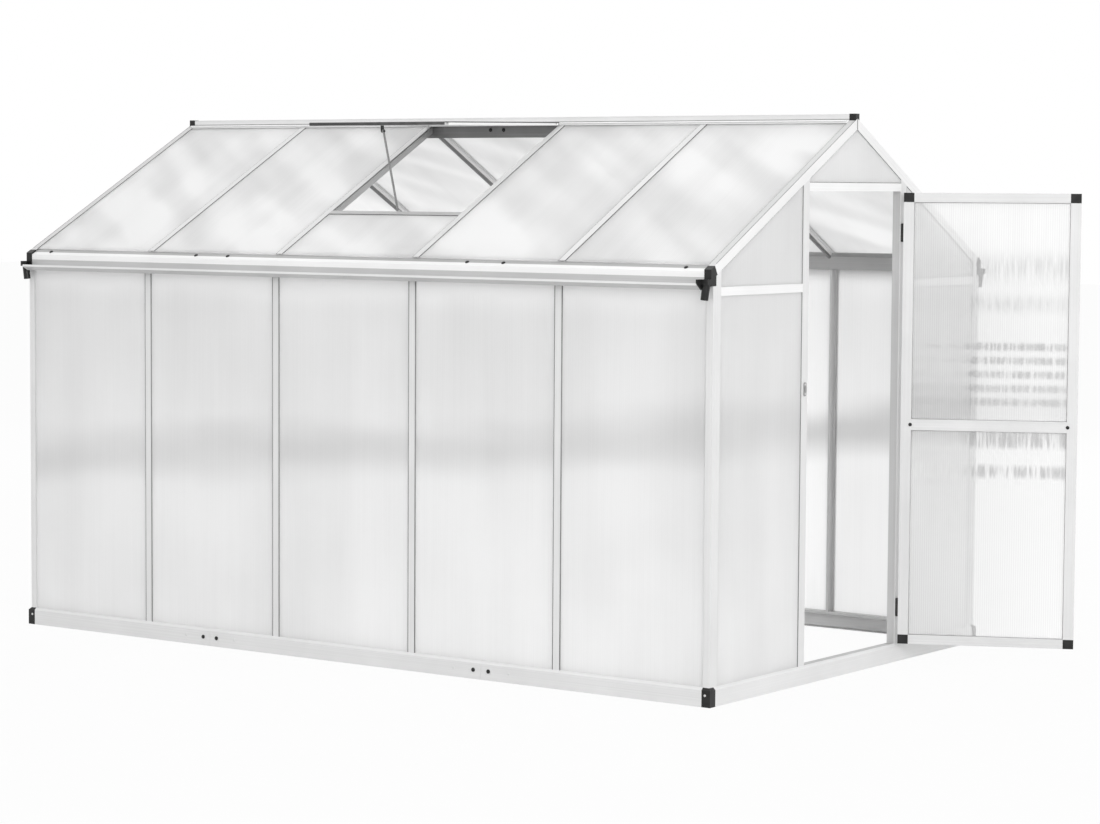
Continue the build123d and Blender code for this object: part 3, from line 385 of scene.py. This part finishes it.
def twin_wall(
    name, along, across, clear, flute, tones, level, cloudy, streaky,
    lower=0.0, painted_beams=0.0, peak=0.0, band_z=BAND_Z, band_depth=0.46,
    brow=0.0, ticks=0.0, see=0.99, glow=0.6,
):
    """Cloudy twin-wall sheet: flutes run along one direction, side by side across the other.

    A wall has painted light low down and at its brow, just below the gutter, and a soft band of
    painted shade at half height. A roof has soft pale bands of painted reflection at a slant to its
    flutes and painted shade at its peak, near the ridge. The ticks are short dull marks in rows,
    painted shade that stands for what a clear sheet shows behind its flutes.
    """
    f = Finish(name)
    x, _, z = f.axes()
    run = f.distance(across)
    wave = f.math("SINE", f.math("MULTIPLY", run, 2 * pi / FLUTE_PITCH))
    cloud = f.spread(f.noise(CLOUDS_PER_METRE), 0.0, 1.0, 0.25, 0.75)
    streaks = f.spread(f.drawn(along, STREAK), 0.0, 1.0, 0.25, 0.75)
    threads = f.spread(f.drawn(along, THREAD, 1.0), -1.0, 1.0, 0.25, 0.75)
    slant = across * BEAM_ACROSS - along * BEAM_ALONG
    light = f.spread(f.drawn(slant, BEAM, 1.0), 0.0, 1.0, 0.33, 0.67)
    wander = f.drawn(X_AXIS, WANDER, 2.0)
    drift = f.total(z, (x, -BAND_RISE), (wander, WANDER_RANGE))
    # Painted light low down and at the brow, painted shade at the peak and in the band, painted
    # reflection in the slanting pale bands
    tone = f.total(
        level,
        (f.spread(z, 1.0, 0.0, *LOWER_ZS), lower),
        (f.spread(z, 0.0, 1.0, *PEAK_ZS), -peak),
        (f.spread(z, 0.0, 1.0, *BROW_ZS), brow),
        (f.hump(drift, band_z + WANDER_RANGE / 2, BAND_HALF), -band_depth),
        (cloud, cloudy),
        (streaks, streaky),
        (light, painted_beams),
        (threads, THREAD_SHARE),
    )
    solid = f.total(1.0 - clear, (wave, flute))
    # The ticks are painted shade for what shows through a clear sheet
    if ticks:
        rows = [(f.hump(z, middle, half), share) for middle, half, share in TICK_ROWS]
        marks = f.spread(f.drawn(along, TICK, 1.0), 0.1, 1.0, 0.35, 0.65)
        first = DOOR_AXIS.dot(across) + TICKS_START
        beyond = f.spread(run, 0.2, 1.0, first, first + TICKS_FADE)
        dashes = f.math("MULTIPLY", f.math("MULTIPLY", f.total(0.0, *rows), marks), beyond)
        tone = f.total(tone, (dashes, -TICK_SHADE))
        solid = f.total(solid, (dashes, ticks))
    dull, pale = tones
    colour = f.blend(tone, grey(dull), grey(pale))
    sheet = f.principled(
        base_color=colour,
        roughness=f.spread(cloud, 0.30, 0.40, 0.0, 1.0),
        normal=f.bump(wave, strength=0.12, distance=0.0006),
    )
    inner = f.node("ShaderNodeBsdfTranslucent", {"Color": colour}).outputs["BSDF"]
    through = f.node("ShaderNodeBsdfTransparent", {"Color": grey(see)}).outputs["BSDF"]
    return f.show(f.mix(solid, through, f.mix(glow, sheet, inner)))


def moulding(name, dark, pale, rough, gloss=0.5):
    """Moulded plastic or rubber with a fine grain."""
    f = Finish(name)
    grain = f.noise(900.0, detail=3.0)
    patches = f.noise(30.0)
    return f.show(
        f.principled(
            base_color=f.blend(f.spread(patches, 0.0, 1.0), grey(dark), grey(pale)),
            roughness=f.spread(patches, rough - 0.06, rough + 0.06),
            specular_ior_level=gloss,
            normal=f.bump(grain, strength=0.12, distance=0.0002),
        )
    )


def plated(name, dark, pale, rough):
    """Plated steel with a faint crystal pattern."""
    f = Finish(name)
    spangle = f.noise(160.0, detail=4.0)
    return f.show(
        f.principled(
            base_color=f.blend(f.spread(spangle, 0.0, 1.0), grey(dark), grey(pale)),
            metallic=0.7,
            roughness=f.spread(spangle, rough - 0.07, rough + 0.07),
            normal=f.bump(spangle, strength=0.05, distance=0.0002),
        )
    )


# Each profile's finish: its members, the way they were drawn and their tones. Where the outer tones
# differ from member to member, the lighter and darker ones are painted light and shade; the zone
# tones and the tones behind the panes and on inner edges are painted light and shade as well.
PROFILES = {
    "base_aluminium": ("base_front base_back", dict(along=X_AXIS, satin=0.77, painted_inside_tone=0.56)),
    "ridge_aluminium": (
        "ridge_door_half ridge_rear_half vent_hinge_rail",
        dict(along=X_AXIS, satin=0.77, painted_inside_tone=0.20, zone=Finish.wing, painted_zone_tone=0.93),
    ),
    "eave_aluminium": (
        "front_gutter back_gutter",
        dict(along=X_AXIS, satin=0.96, painted_inside_tone=0.44, zone=Finish.trough, painted_zone_tone=0.60),
    ),
    "gable_base_aluminium": (
        "base_door_end base_rear_end",
        dict(along=Y_AXIS, satin=0.79, painted_inside_tone=0.56),
    ),
    "gable_rail_aluminium": (
        "door_header gable_rail_front gable_rail_back rear_gable_rails",
        dict(along=Y_AXIS, satin=0.90, painted_inside_tone=0.56),
    ),
    "upright_aluminium": (
        "post_door_front post_door_back post_rear_front post_rear_back front_studs back_studs "
        "jamb_catch jamb_hinge rear_gable_studs",
        dict(along=Z_AXIS, satin=0.77, painted_inside_tone=0.58),
    ),
    "front_rafter_aluminium": (
        "rafter_door_front rafter_rear_front",
        dict(along=UP_FRONT, satin=0.86, painted_inside_tone=0.46, zone=Finish.upward, painted_zone_tone=0.62),
    ),
    "back_rafter_aluminium": (
        "rafter_door_back rafter_rear_back",
        dict(along=UP_BACK, satin=0.86, painted_inside_tone=0.60, zone=Finish.upward, painted_zone_tone=0.62),
    ),
    "front_bar_aluminium": ("front_roof_bars", dict(along=UP_FRONT, satin=0.72, painted_inside_tone=0.46)),
    "back_bar_aluminium": (
        "back_roof_bars",
        dict(along=UP_BACK, satin=0.72, painted_inside_tone=0.84, edge=0.20),
    ),
    "vent_side_aluminium": ("vent_side_rails", dict(along=UP_VENT, satin=0.88, painted_inside_tone=0.60)),
    "vent_end_aluminium": ("vent_lower_rail", dict(along=X_AXIS, satin=0.60, painted_inside_tone=0.50)),
    "sill_aluminium": ("vent_sill", dict(along=X_AXIS, satin=0.50, painted_inside_tone=0.46)),
    "door_aluminium": (
        "door_top_rail door_mid_rail door_bottom_rail",
        dict(along=DOOR_U, satin=0.70, painted_inside_tone=0.66),
    ),
    "stile_aluminium": (
        "door_stile_hinge door_stile_free",
        dict(along=Z_AXIS, satin=0.70, painted_inside_tone=0.66),
    ),
}

# Tones of the sheets: how clear they are, how strong their flutes and how their tone varies,
# by clouds and streaks and by painted light, shade and reflection
WALL_TONES = dict(
    clear=0.10, flute=0.006, tones=(0.78, 0.99), level=0.52, lower=0.18,
    cloudy=0.22, streaky=0.15,
)
BACK_TONES = dict(
    WALL_TONES, level=0.56, lower=0.26, band_z=BACK_BAND_Z, band_depth=0.90, brow=0.30, glow=0.70,
)
GABLE_TONES = dict(WALL_TONES, level=0.44, lower=0.08, band_depth=0.28)
ROOF_TONES = dict(
    clear=0.16, flute=0.012, tones=(0.80, 1.0), level=0.12,
    cloudy=0.35, streaky=0.35, painted_beams=0.55, peak=0.22,
)
DOOR_TONES = dict(
    clear=0.66, flute=0.02, tones=(0.62, 0.98), level=0.75, lower=0.34,
    cloudy=0.15, streaky=0.15, ticks=0.30, see=0.98,
)

# Each sheet's finish: its members, the way along and across its flutes, and its tones
PANES = {
    "front_wall_sheet": ("side_panes_front", Z_AXIS, X_AXIS, dict(WALL_TONES, brow=0.50)),
    "back_wall_sheet": ("side_panes_back", Z_AXIS, X_AXIS, BACK_TONES),
    "gable_sheet": ("gable_panes_door gable_panes_rear", Z_AXIS, Y_AXIS, GABLE_TONES),
    "front_roof_sheet": ("roof_panes_front", UP_FRONT, X_AXIS, ROOF_TONES),
    "back_roof_sheet": ("roof_panes_back", UP_BACK, X_AXIS, ROOF_TONES),
    "vent_sheet": ("vent_pane", UP_VENT, X_AXIS, ROOF_TONES),
    "door_sheet": ("door_panes", Z_AXIS, DOOR_U, DOOR_TONES),
}

# Members of the other finishes
BLACK = "base_corner_caps gutter_outlets eave_corner_covers ridge_end_caps door_corner_caps"
COATED = "hinge_jamb_leaves hinge_pins hinge_door_leaves stay_bracket"
ZINC = "base_splice_plates gutter_sleeves ridge_splice door_catch"
DULL = "vent_stay"


def dress(names, material):
    """Gives the material to all nodes named."""
    for name in names.split():
        mesh = nodes[name].data
        mesh.materials.clear()
        mesh.materials.append(material)


for name, (members, looks) in PROFILES.items():
    dress(members, aluminium(name, **looks))
for name, (members, along, across, looks) in PANES.items():
    dress(members, twin_wall(name, along, across, **looks))
black = moulding("black_moulding", 0.010, 0.018, 0.34, 0.30)
rubber = moulding("seal_rubber", 0.050, 0.080, 0.60)
gasket = moulding("grey_gasket", 0.20, 0.26, 0.55)
pale_gasket = moulding("pale_gasket", 0.46, 0.54, 0.55)
coated = plated("coated_steel", 0.040, 0.065, 0.42)
zinc = plated("zinc_plate", 0.36, 0.46, 0.38)
dull = plated("dull_zinc", 0.27, 0.35, 0.40)
bright = plated("bright_zinc", 0.66, 0.76, 0.38)
dress(BLACK, black)
dress(COATED, coated)
dress(ZINC, zinc)
dress(DULL, dull)

# Moulded edges are rounded, so that they catch the light
for name in BLACK.split():
    rounding = nodes[name].modifiers.new("rounded_edges", "BEVEL")
    rounding.width = MOULDED_EDGE
    rounding.segments = 2
    rounding.limit_method = "ANGLE"


# Sealing beads and fixings


def scene_object(name, data):
    """New object in the scene."""
    made = bpy.data.objects.new(name, data)
    bpy.context.scene.collection.objects.link(made)
    return made


def mesh_object(name, bm, material):
    """New object in the scene with the mesh, which is freed."""
    mesh = bpy.data.meshes.new(name)
    bm.to_mesh(mesh)
    bm.free()
    mesh.materials.append(material)
    return scene_object(name, mesh)


def finish_piece(name, bm, material, body):
    """Turns the mesh into a piece that rides on a body."""
    bmesh.ops.recalc_face_normals(bm, faces=bm.faces)
    piece = mesh_object(name, bm, material)
    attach(piece, body)


def bead(bm, start, end, out, wide=0.0040, high=0.0013, steps=6):
    """Half-round sealing bead between two points of a surface that faces out."""
    start, end = Vector(start), Vector(end)
    side = (end - start).cross(out).normalized()
    arc = [pi * k / steps for k in range(steps + 1)]
    rings = []
    for place in (start, end):
        shape = [place + side * cos(a) * wide / 2 + out * sin(a) * high for a in arc]
        rings.append([bm.verts.new(point) for point in shape])
    first, last = rings
    for k in range(steps):
        bm.faces.new((first[k], first[k + 1], last[k + 1], last[k])).smooth = True
    bm.faces.new((first[-1], first[0], last[0], last[-1]))
    bm.faces.new(first)
    bm.faces.new(last)


# Screw heads: share of the radius and of the height at each ring, and the cross recess in them
HEAD_RINGS = ((1.0, 0.0), (1.0, 0.35), (0.90, 0.72), (0.72, 0.93), (0.52, 1.0))
ARM_END = 0.46
ARM_CORNER = 0.17
RECESS_TAPER = 0.8
RECESS_FLOOR = 0.45


def cross_head(bm, place, out, radius, high, segments=32):
    """Round screw head with a cross recess, standing on a surface that faces out."""
    turn = Z_AXIS.rotation_difference(Vector(out)).to_matrix().to_4x4()
    at = Matrix.Translation(Vector(place)) @ turn
    angles = [2 * pi * k / segments for k in range(segments)]
    quarter = segments // 4

    def ring(radii, z):
        places = [Vector((r * cos(a), r * sin(a), z)) for r, a in zip(radii, angles)]
        return [bm.verts.new(at @ place) for place in places]

    def arm(k):
        return radius * (ARM_END if k % quarter in (0, 1, quarter - 1) else ARM_CORNER)

    arms = [arm(k) for k in range(segments)]
    rings = [ring([radius * share] * segments, high * up) for share, up in HEAD_RINGS]
    rings.append(ring(arms, high))
    rings.append(ring([r * RECESS_TAPER for r in arms], high * RECESS_FLOOR))
    for lower, upper in zip(rings, rings[1:]):
        for k in range(segments):
            n = (k + 1) % segments
            face = bm.faces.new((lower[k], lower[n], upper[n], upper[k]))
            face.smooth = upper is not rings[-2] and upper is not rings[-1]
    bm.faces.new(rings[-1])
    bm.faces.new(rings[0])


def roof_point(x, s, out):
    """Point of the front slope: s up the slope from the wall plane, out of the roof plane."""
    return Vector((x, -WALL_Y, EAVE_Z)) + UP_FRONT * s + OUT_FRONT * out


def vent_point(x, s, n):
    """Point of the vent at its open rest place."""
    return roof_point(x, SLOPE - RIDGE_WING, HOOK) + UP_VENT * s + OUT_VENT * n


def door_point(u, v, z):
    """Point of the door at its open rest place."""
    return DOOR_AXIS + DOOR_U * u + DOOR_V * v + Z_AXIS * z


def both_sides(make, bm, points, out, *sizes):
    """The same bead or screw on the front and on the back."""
    for side in (1, -1):
        flip = Vector((1, side, 1))
        make(bm, *(Vector(point) * flip for point in points), Vector(out) * flip, *sizes)


# Beads: half the width of the common kinds, then width and height of the special ones
SEAL = 0.0020
ROOF_SEAL = 0.0013
FINE_SEAL = 0.0009
RIDGE_BEAD = (0.0026, 0.0014)
RIDGE_BEAD_OUT = 0.0008
UPRIGHT_WIDTH = 0.0032
APEX_BEAD = (0.0034, 0.0009)
APEX_GAP = 0.001
VENT_LIP = (0.0108, 0.0024)
VENT_TRIM = (0.0036, 0.0009)
VENT_TRIM_DROP = 0.0019


def bar_edges(gap):
    """X of both edges of every pane, a gap away from the bars and corners."""
    inner = [x + side * (BAR_FACE / 2 + gap) for x in STUD_XS for side in (-1, 1)]
    outer = WALL_X - POST_FACE - gap
    return [-outer, *inner, outer]


# Side walls: beads beside every stud
seals = bmesh.new()
wall_face = -WALL_Y + PANE_DROP
for x in bar_edges(SEAL)[1:-1]:
    both_sides(bead, seals, ((x, wall_face, BASE_TOP), (x, wall_face, STUD_HEAD)), -Y_AXIS)
finish_piece("wall_seals", seals, gasket, "frame")

# Roof: beads beside the bars and rafters and below the vent sill
seals = bmesh.new()
ridge_foot = SLOPE - RIDGE_WING
to_back = Vector((1, -1, 1))
for x in bar_edges(ROOF_SEAL):
    low = roof_point(x, PANE_START, -PANE_DROP)
    top = roof_point(x, ridge_foot, -PANE_DROP)
    sill = roof_point(x, SILL_LOW, -PANE_DROP)
    under_vent = abs(x) < STUD_XS[2]
    bead(seals, low, sill if under_vent else top, OUT_FRONT, 2 * ROOF_SEAL)
    bead(seals, low * to_back, top * to_back, OUT_BACK, 2 * ROOF_SEAL)
sill_half = STUD_XS[2] - BAR_FACE / 2
edge = [roof_point(side * sill_half, SILL_LOW - ROOF_SEAL, -PANE_DROP) for side in (-1, 1)]
bead(seals, *edge, OUT_FRONT, 2 * ROOF_SEAL)
finish_piece("roof_seals", seals, rubber, "frame")

# Eave: beads between the roof panes and the ledge that carries them
seals = bmesh.new()
pane_xs = bar_edges(ROOF_SEAL)
for left, right in zip(pane_xs[::2], pane_xs[1::2]):
    edge = [roof_point(x, PANE_START - ROOF_SEAL, -LEDGE_DROP) for x in (left, right)]
    both_sides(bead, seals, edge, OUT_FRONT, 2 * ROOF_SEAL)
finish_piece("eave_seals", seals, pale_gasket, "frame")

# Ridge: a dark bead in the corner between its top and its wing, painted shade in that corner
seals = bmesh.new()
corner_z = APEX_Z - RIDGE_HALF * tan(PITCH) + RIDGE_SHEET / cos(PITCH)
corner = [(side * BEAM_END, -RIDGE_HALF - RIDGE_BEAD_OUT, corner_z) for side in (-1, 1)]
both_sides(bead, seals, corner, OUT_FRONT, *RIDGE_BEAD)
finish_piece("ridge_corner_shade", seals, gasket, "frame")

# Gables: beads beside the inner uprights and above the door head, and dark beads along and under
# the rafters, painted shade lines at the rafters' edges
JAMB_Y = HALF_DOORWAY + JAMB_FACE + SEAL
STUD_YS = (REAR_STUD_Y + BAR_FACE / 2 + SEAL, REAR_STUD_Y - BAR_FACE / 2 - SEAL)


def under_rafter(y):
    """Height of a gable rafter's lower edge."""
    return APEX_Z - RAFTER_FACE / cos(PITCH) - abs(y) * tan(PITCH)


seals = bmesh.new()
for end, uprights in ((1, (JAMB_Y,)), (-1, STUD_YS)):
    face = end * (WALL_X - PANE_DROP)
    for y in uprights:
        run = ((face, -y, BASE_TOP), (face, -y, under_rafter(y)))
        both_sides(bead, seals, run, X_AXIS * end, UPRIGHT_WIDTH)
    # Painted shade lines under the rafters and along their edges on the roof
    slope = [(face, -y, under_rafter(y) - FINE_SEAL) for y in (WALL_Y - POST_GABLE, 0.0)]
    both_sides(bead, seals, slope, X_AXIS * end, 2 * FINE_SEAL)
    edge = [roof_point(end * (WALL_X - SEAL), s, 0.0) for s in (PANE_START, SLOPE - RIDGE_HALF)]
    both_sides(bead, seals, edge, OUT_FRONT, 2 * FINE_SEAL, FINE_SEAL)
top = HEADER_Z + HEADER_FACE + FINE_SEAL
run = [(WALL_X - PANE_DROP, -y, top) for y in (HALF_DOORWAY, 0.0)]
both_sides(bead, seals, run, X_AXIS, 2 * FINE_SEAL)
finish_piece("gable_seals", seals, gasket, "frame")

# Joint of the two rafters at the top of each gable
seals = bmesh.new()
for end in (-1, 1):
    joint = [(end * WALL_X, 0.0, z) for z in (APEX_Z - APEX_GAP, under_rafter(0.0))]
    bead(seals, *joint, X_AXIS * end, *APEX_BEAD)
finish_piece("apex_seals", seals, rubber, "frame")

# Door: beads round both panes on both faces
seals = bmesh.new()
left, right = DOOR_STILES[0] + FINE_SEAL, DOOR_STILES[1] - FINE_SEAL
for v, side in DOOR_PANE_FACES:
    out = DOOR_V * side
    for low, high in DOOR_PANE_SPANS:
        for u in (left, right):
            bead(seals, door_point(u, v, low), door_point(u, v, high), out, 2 * FINE_SEAL)
        for z in (low + FINE_SEAL, high - FINE_SEAL):
            bead(seals, door_point(left, v, z), door_point(right, v, z), out, 2 * FINE_SEAL)
finish_piece("door_seals", seals, pale_gasket, "door")

# Vent: rubber lip along its lower edge, trim along its sides, beads round its pane
seals = bmesh.new()
mid = VENT_LOW + VENT_DEPTH / 2
pane_top = mid + PANE_HALF
pane_low, pane_high = VENT_RAIL - VENT_LENGTH, VENT_HEAD - VENT_RAIL
trim_n = VENT_LOW + VENT_DEPTH - VENT_TRIM_DROP
head_s = VENT_HEAD - VENT_TRIM[0] / 2
lip = [vent_point(side * VENT_HALF, -VENT_LENGTH, mid) for side in (-1, 1)]
bead(seals, *lip, -UP_VENT, *VENT_LIP)
for side in (-1, 1):
    trim = [vent_point(side * VENT_HALF, s, trim_n) for s in (-VENT_LENGTH, VENT_HEAD)]
    bead(seals, *trim, X_AXIS * side, *VENT_TRIM)
    head = [vent_point(side * VENT_HALF, head_s, VENT_LOW + n) for n in (0.0, VENT_DEPTH)]
    bead(seals, *head, X_AXIS * side, *VENT_TRIM)
    x = side * (VENT_HALF - VENT_RAIL - SEAL)
    bead(seals, *(vent_point(x, s, pane_top) for s in (pane_low, pane_high)), OUT_VENT)
for s in (pane_low + SEAL, pane_high - SEAL):
    run = [vent_point(side * (VENT_HALF - VENT_RAIL), s, pane_top) for side in (-1, 1)]
    bead(seals, *run, OUT_VENT)
finish_piece("vent_seals", seals, rubber, "roof_vent")

# Radius and height of the screw heads
BOLT = (0.0072, 0.0034)
BASE_SCREW = (0.0042, 0.0018)
CATCH_SCREW = (0.0034, 0.0016)
DOOR_SCREW = (0.0062, 0.0028)

# Black bolts at the joints of the base, of the eave ledge and of the ridge web
BASE_BOLT_STEP = 0.0315
LEDGE_SCREW_STEP = 0.075
LEDGE_SCREW_END = 1.400
LEDGE_SCREW_S = 0.004
WEB_BOLT_STEP = 0.030
bolts = bmesh.new()
for x in SPLICE_XS:
    for side in (-1, 1):
        place = (x + side * BASE_BOLT_STEP, -HALF_WIDTH, BASE_TOP / 2)
        both_sides(cross_head, bolts, (place,), -Y_AXIS, *BOLT)
        place = roof_point(x + side * LEDGE_SCREW_STEP, LEDGE_SCREW_S, -LEDGE_DROP)
        both_sides(cross_head, bolts, (place,), OUT_FRONT, *BOLT)
for side in (-1, 1):
    place = roof_point(side * LEDGE_SCREW_END, LEDGE_SCREW_S, -LEDGE_DROP)
    both_sides(cross_head, bolts, (place,), OUT_FRONT, *BOLT)
    place = (side * WEB_BOLT_STEP, -WEB_HALF, APEX_Z - WEB_MID)
    both_sides(cross_head, bolts, (place,), -Y_AXIS, *BOLT)
finish_piece("black_bolts", bolts, black, "frame")

# Pale screws beside the base joints, in the corner caps and in the catch plate
BASE_SCREW_STEP = 0.115
CAP_SCREW_X = 1.4955
CAP_SCREW_Z = 0.038
screws = bmesh.new()
for x in SPLICE_XS:
    for side in (-1, 1):
        place = (x + side * BASE_SCREW_STEP, -HALF_WIDTH, BASE_TOP / 2)
        both_sides(cross_head, screws, (place,), -Y_AXIS, *BASE_SCREW)
for side in (-1, 1):
    place = (side * CAP_SCREW_X, -HALF_WIDTH, CAP_SCREW_Z)
    both_sides(cross_head, screws, (place,), -Y_AXIS, *BASE_SCREW)
    cross_head(screws, CATCH + Z_AXIS * side * CATCH_STEP, X_AXIS, *CATCH_SCREW)
finish_piece("pale_screws", screws, bright, "frame")

# Black screws through the door's middle rail
screws = bmesh.new()
for u in DOOR_SCREW_US:
    for v, side in DOOR_FACES:
        cross_head(screws, door_point(u, v, DOOR_MID_Z), DOOR_V * side, *DOOR_SCREW)
finish_piece("door_screws", screws, black, "door")


# Stage, light and camera

WHITE = grey(1.0)
FLOOR_HALF = 40.0
FLOOR_Z = -0.0006
FLOOR_TONES = (0.64, 0.67)
FLOOR_WHITE = 0.95
SKY_LIGHT = 0.74
SKY_SHOWN = 1.0

# Each lamp: its place, the point it looks at, its size and its power
LAMPS = {
    "key": ((13.0, -9.5, 6.0), (0.3, 0.0, 0.9), 9.0, 1150.0),
    "top": ((0.0, -2.0, 8.0), (0.0, 0.0, 1.4), 6.0, 90.0),
    "back": ((-4.0, 7.5, 4.5), (0.0, 0.0, 0.9), 6.0, 250.0),
}

# Camera that looks down at first: it turns round, then up, then about its own axis
CAMERA_PLACE = (6.6306, -8.9272, 1.645)
CAMERA_HEADING = radians(35.597)
CAMERA_TILT = radians(90 - 4.2465)
CAMERA_ROLL = radians(0.3632)
CAMERA_LENS = 99.06
CAMERA_SENSOR = 36.0
CAMERA_REACH = 200.0


def stage_plane(name, half, z, material):
    """Level square that belongs to the stage."""
    bm = bmesh.new()
    corners = ((-half, -half), (half, -half), (half, half), (-half, half))
    bm.faces.new([bm.verts.new((x, y, z)) for x, y in corners])
    plane = mesh_object(name, bm, material)


def seen_rays(tree):
    """1 for rays that show the background: from the camera, in gloss and through glass."""
    path = tree.nodes.new("ShaderNodeLightPath")
    total = path.outputs["Is Camera Ray"]
    for other in ("Is Glossy Ray", "Is Transmission Ray"):
        highest = tree.nodes.new("ShaderNodeMath")
        highest.operation = "MAXIMUM"
        tree.links.new(total, highest.inputs[0])
        tree.links.new(path.outputs[other], highest.inputs[1])
        total = highest.outputs["Value"]
    return total


def floor_finish():
    """Pale floor that shows as white but keeps a trace of the shadow."""
    f = Finish("studio_floor")
    patches = f.spread(f.noise(2.0), 0.0, 1.0)
    colour = f.blend(patches, *(grey(tone) for tone in FLOOR_TONES))
    lit = f.node("ShaderNodeBsdfDiffuse", {"Color": colour}).outputs["BSDF"]
    glow = f.node("ShaderNodeEmission", {"Color": WHITE, "Strength": 1.0}).outputs["Emission"]
    share = f.math("MULTIPLY", seen_rays(f.tree), FLOOR_WHITE)
    return f.show(f.mix(share, lit, glow))


def background(tree, strength):
    """White background of the given strength."""
    made = tree.nodes.new("ShaderNodeBackground")
    made.inputs["Color"].default_value = WHITE
    made.inputs["Strength"].default_value = strength
    return made.outputs["Background"]


stage_plane("studio_floor", FLOOR_HALF, FLOOR_Z, floor_finish())

world = bpy.data.worlds.new("studio")
bpy.context.scene.world = world
world.use_nodes = True
sky = world.node_tree
sky.nodes.clear()
choice = sky.nodes.new("ShaderNodeMixShader")
sources = (seen_rays(sky), background(sky, SKY_LIGHT), background(sky, SKY_SHOWN))
for source, socket in zip(sources, choice.inputs):
    sky.links.new(source, socket)
sky_output = sky.nodes.new("ShaderNodeOutputWorld")
sky.links.new(choice.outputs["Shader"], sky_output.inputs["Surface"])

for name, (place, target, size, power) in LAMPS.items():
    lamp = bpy.data.lights.new(name, "AREA")
    lamp.shape = "DISK"
    lamp.size = size
    lamp.energy = power
    holder = scene_object(name, lamp)
    holder.location = place
    look = Vector(target) - Vector(place)
    holder.rotation_euler = look.to_track_quat("-Z", "Y").to_euler()

camera_data = bpy.data.cameras.new("photo_camera")
camera_data.sensor_width = CAMERA_SENSOR
camera_data.sensor_fit = "HORIZONTAL"
camera_data.lens = CAMERA_LENS
camera_data.clip_end = CAMERA_REACH
camera = scene_object("photo_camera", camera_data)
turn = Matrix.Rotation(CAMERA_HEADING, 4, "Z")
turn = turn @ Matrix.Rotation(CAMERA_TILT, 4, "X")
turn = turn @ Matrix.Rotation(CAMERA_ROLL, 4, "Z")
camera.matrix_world = Matrix.Translation(CAMERA_PLACE) @ turn
bpy.context.scene.camera = camera
bpy.context.scene.view_settings.view_transform = "Standard"
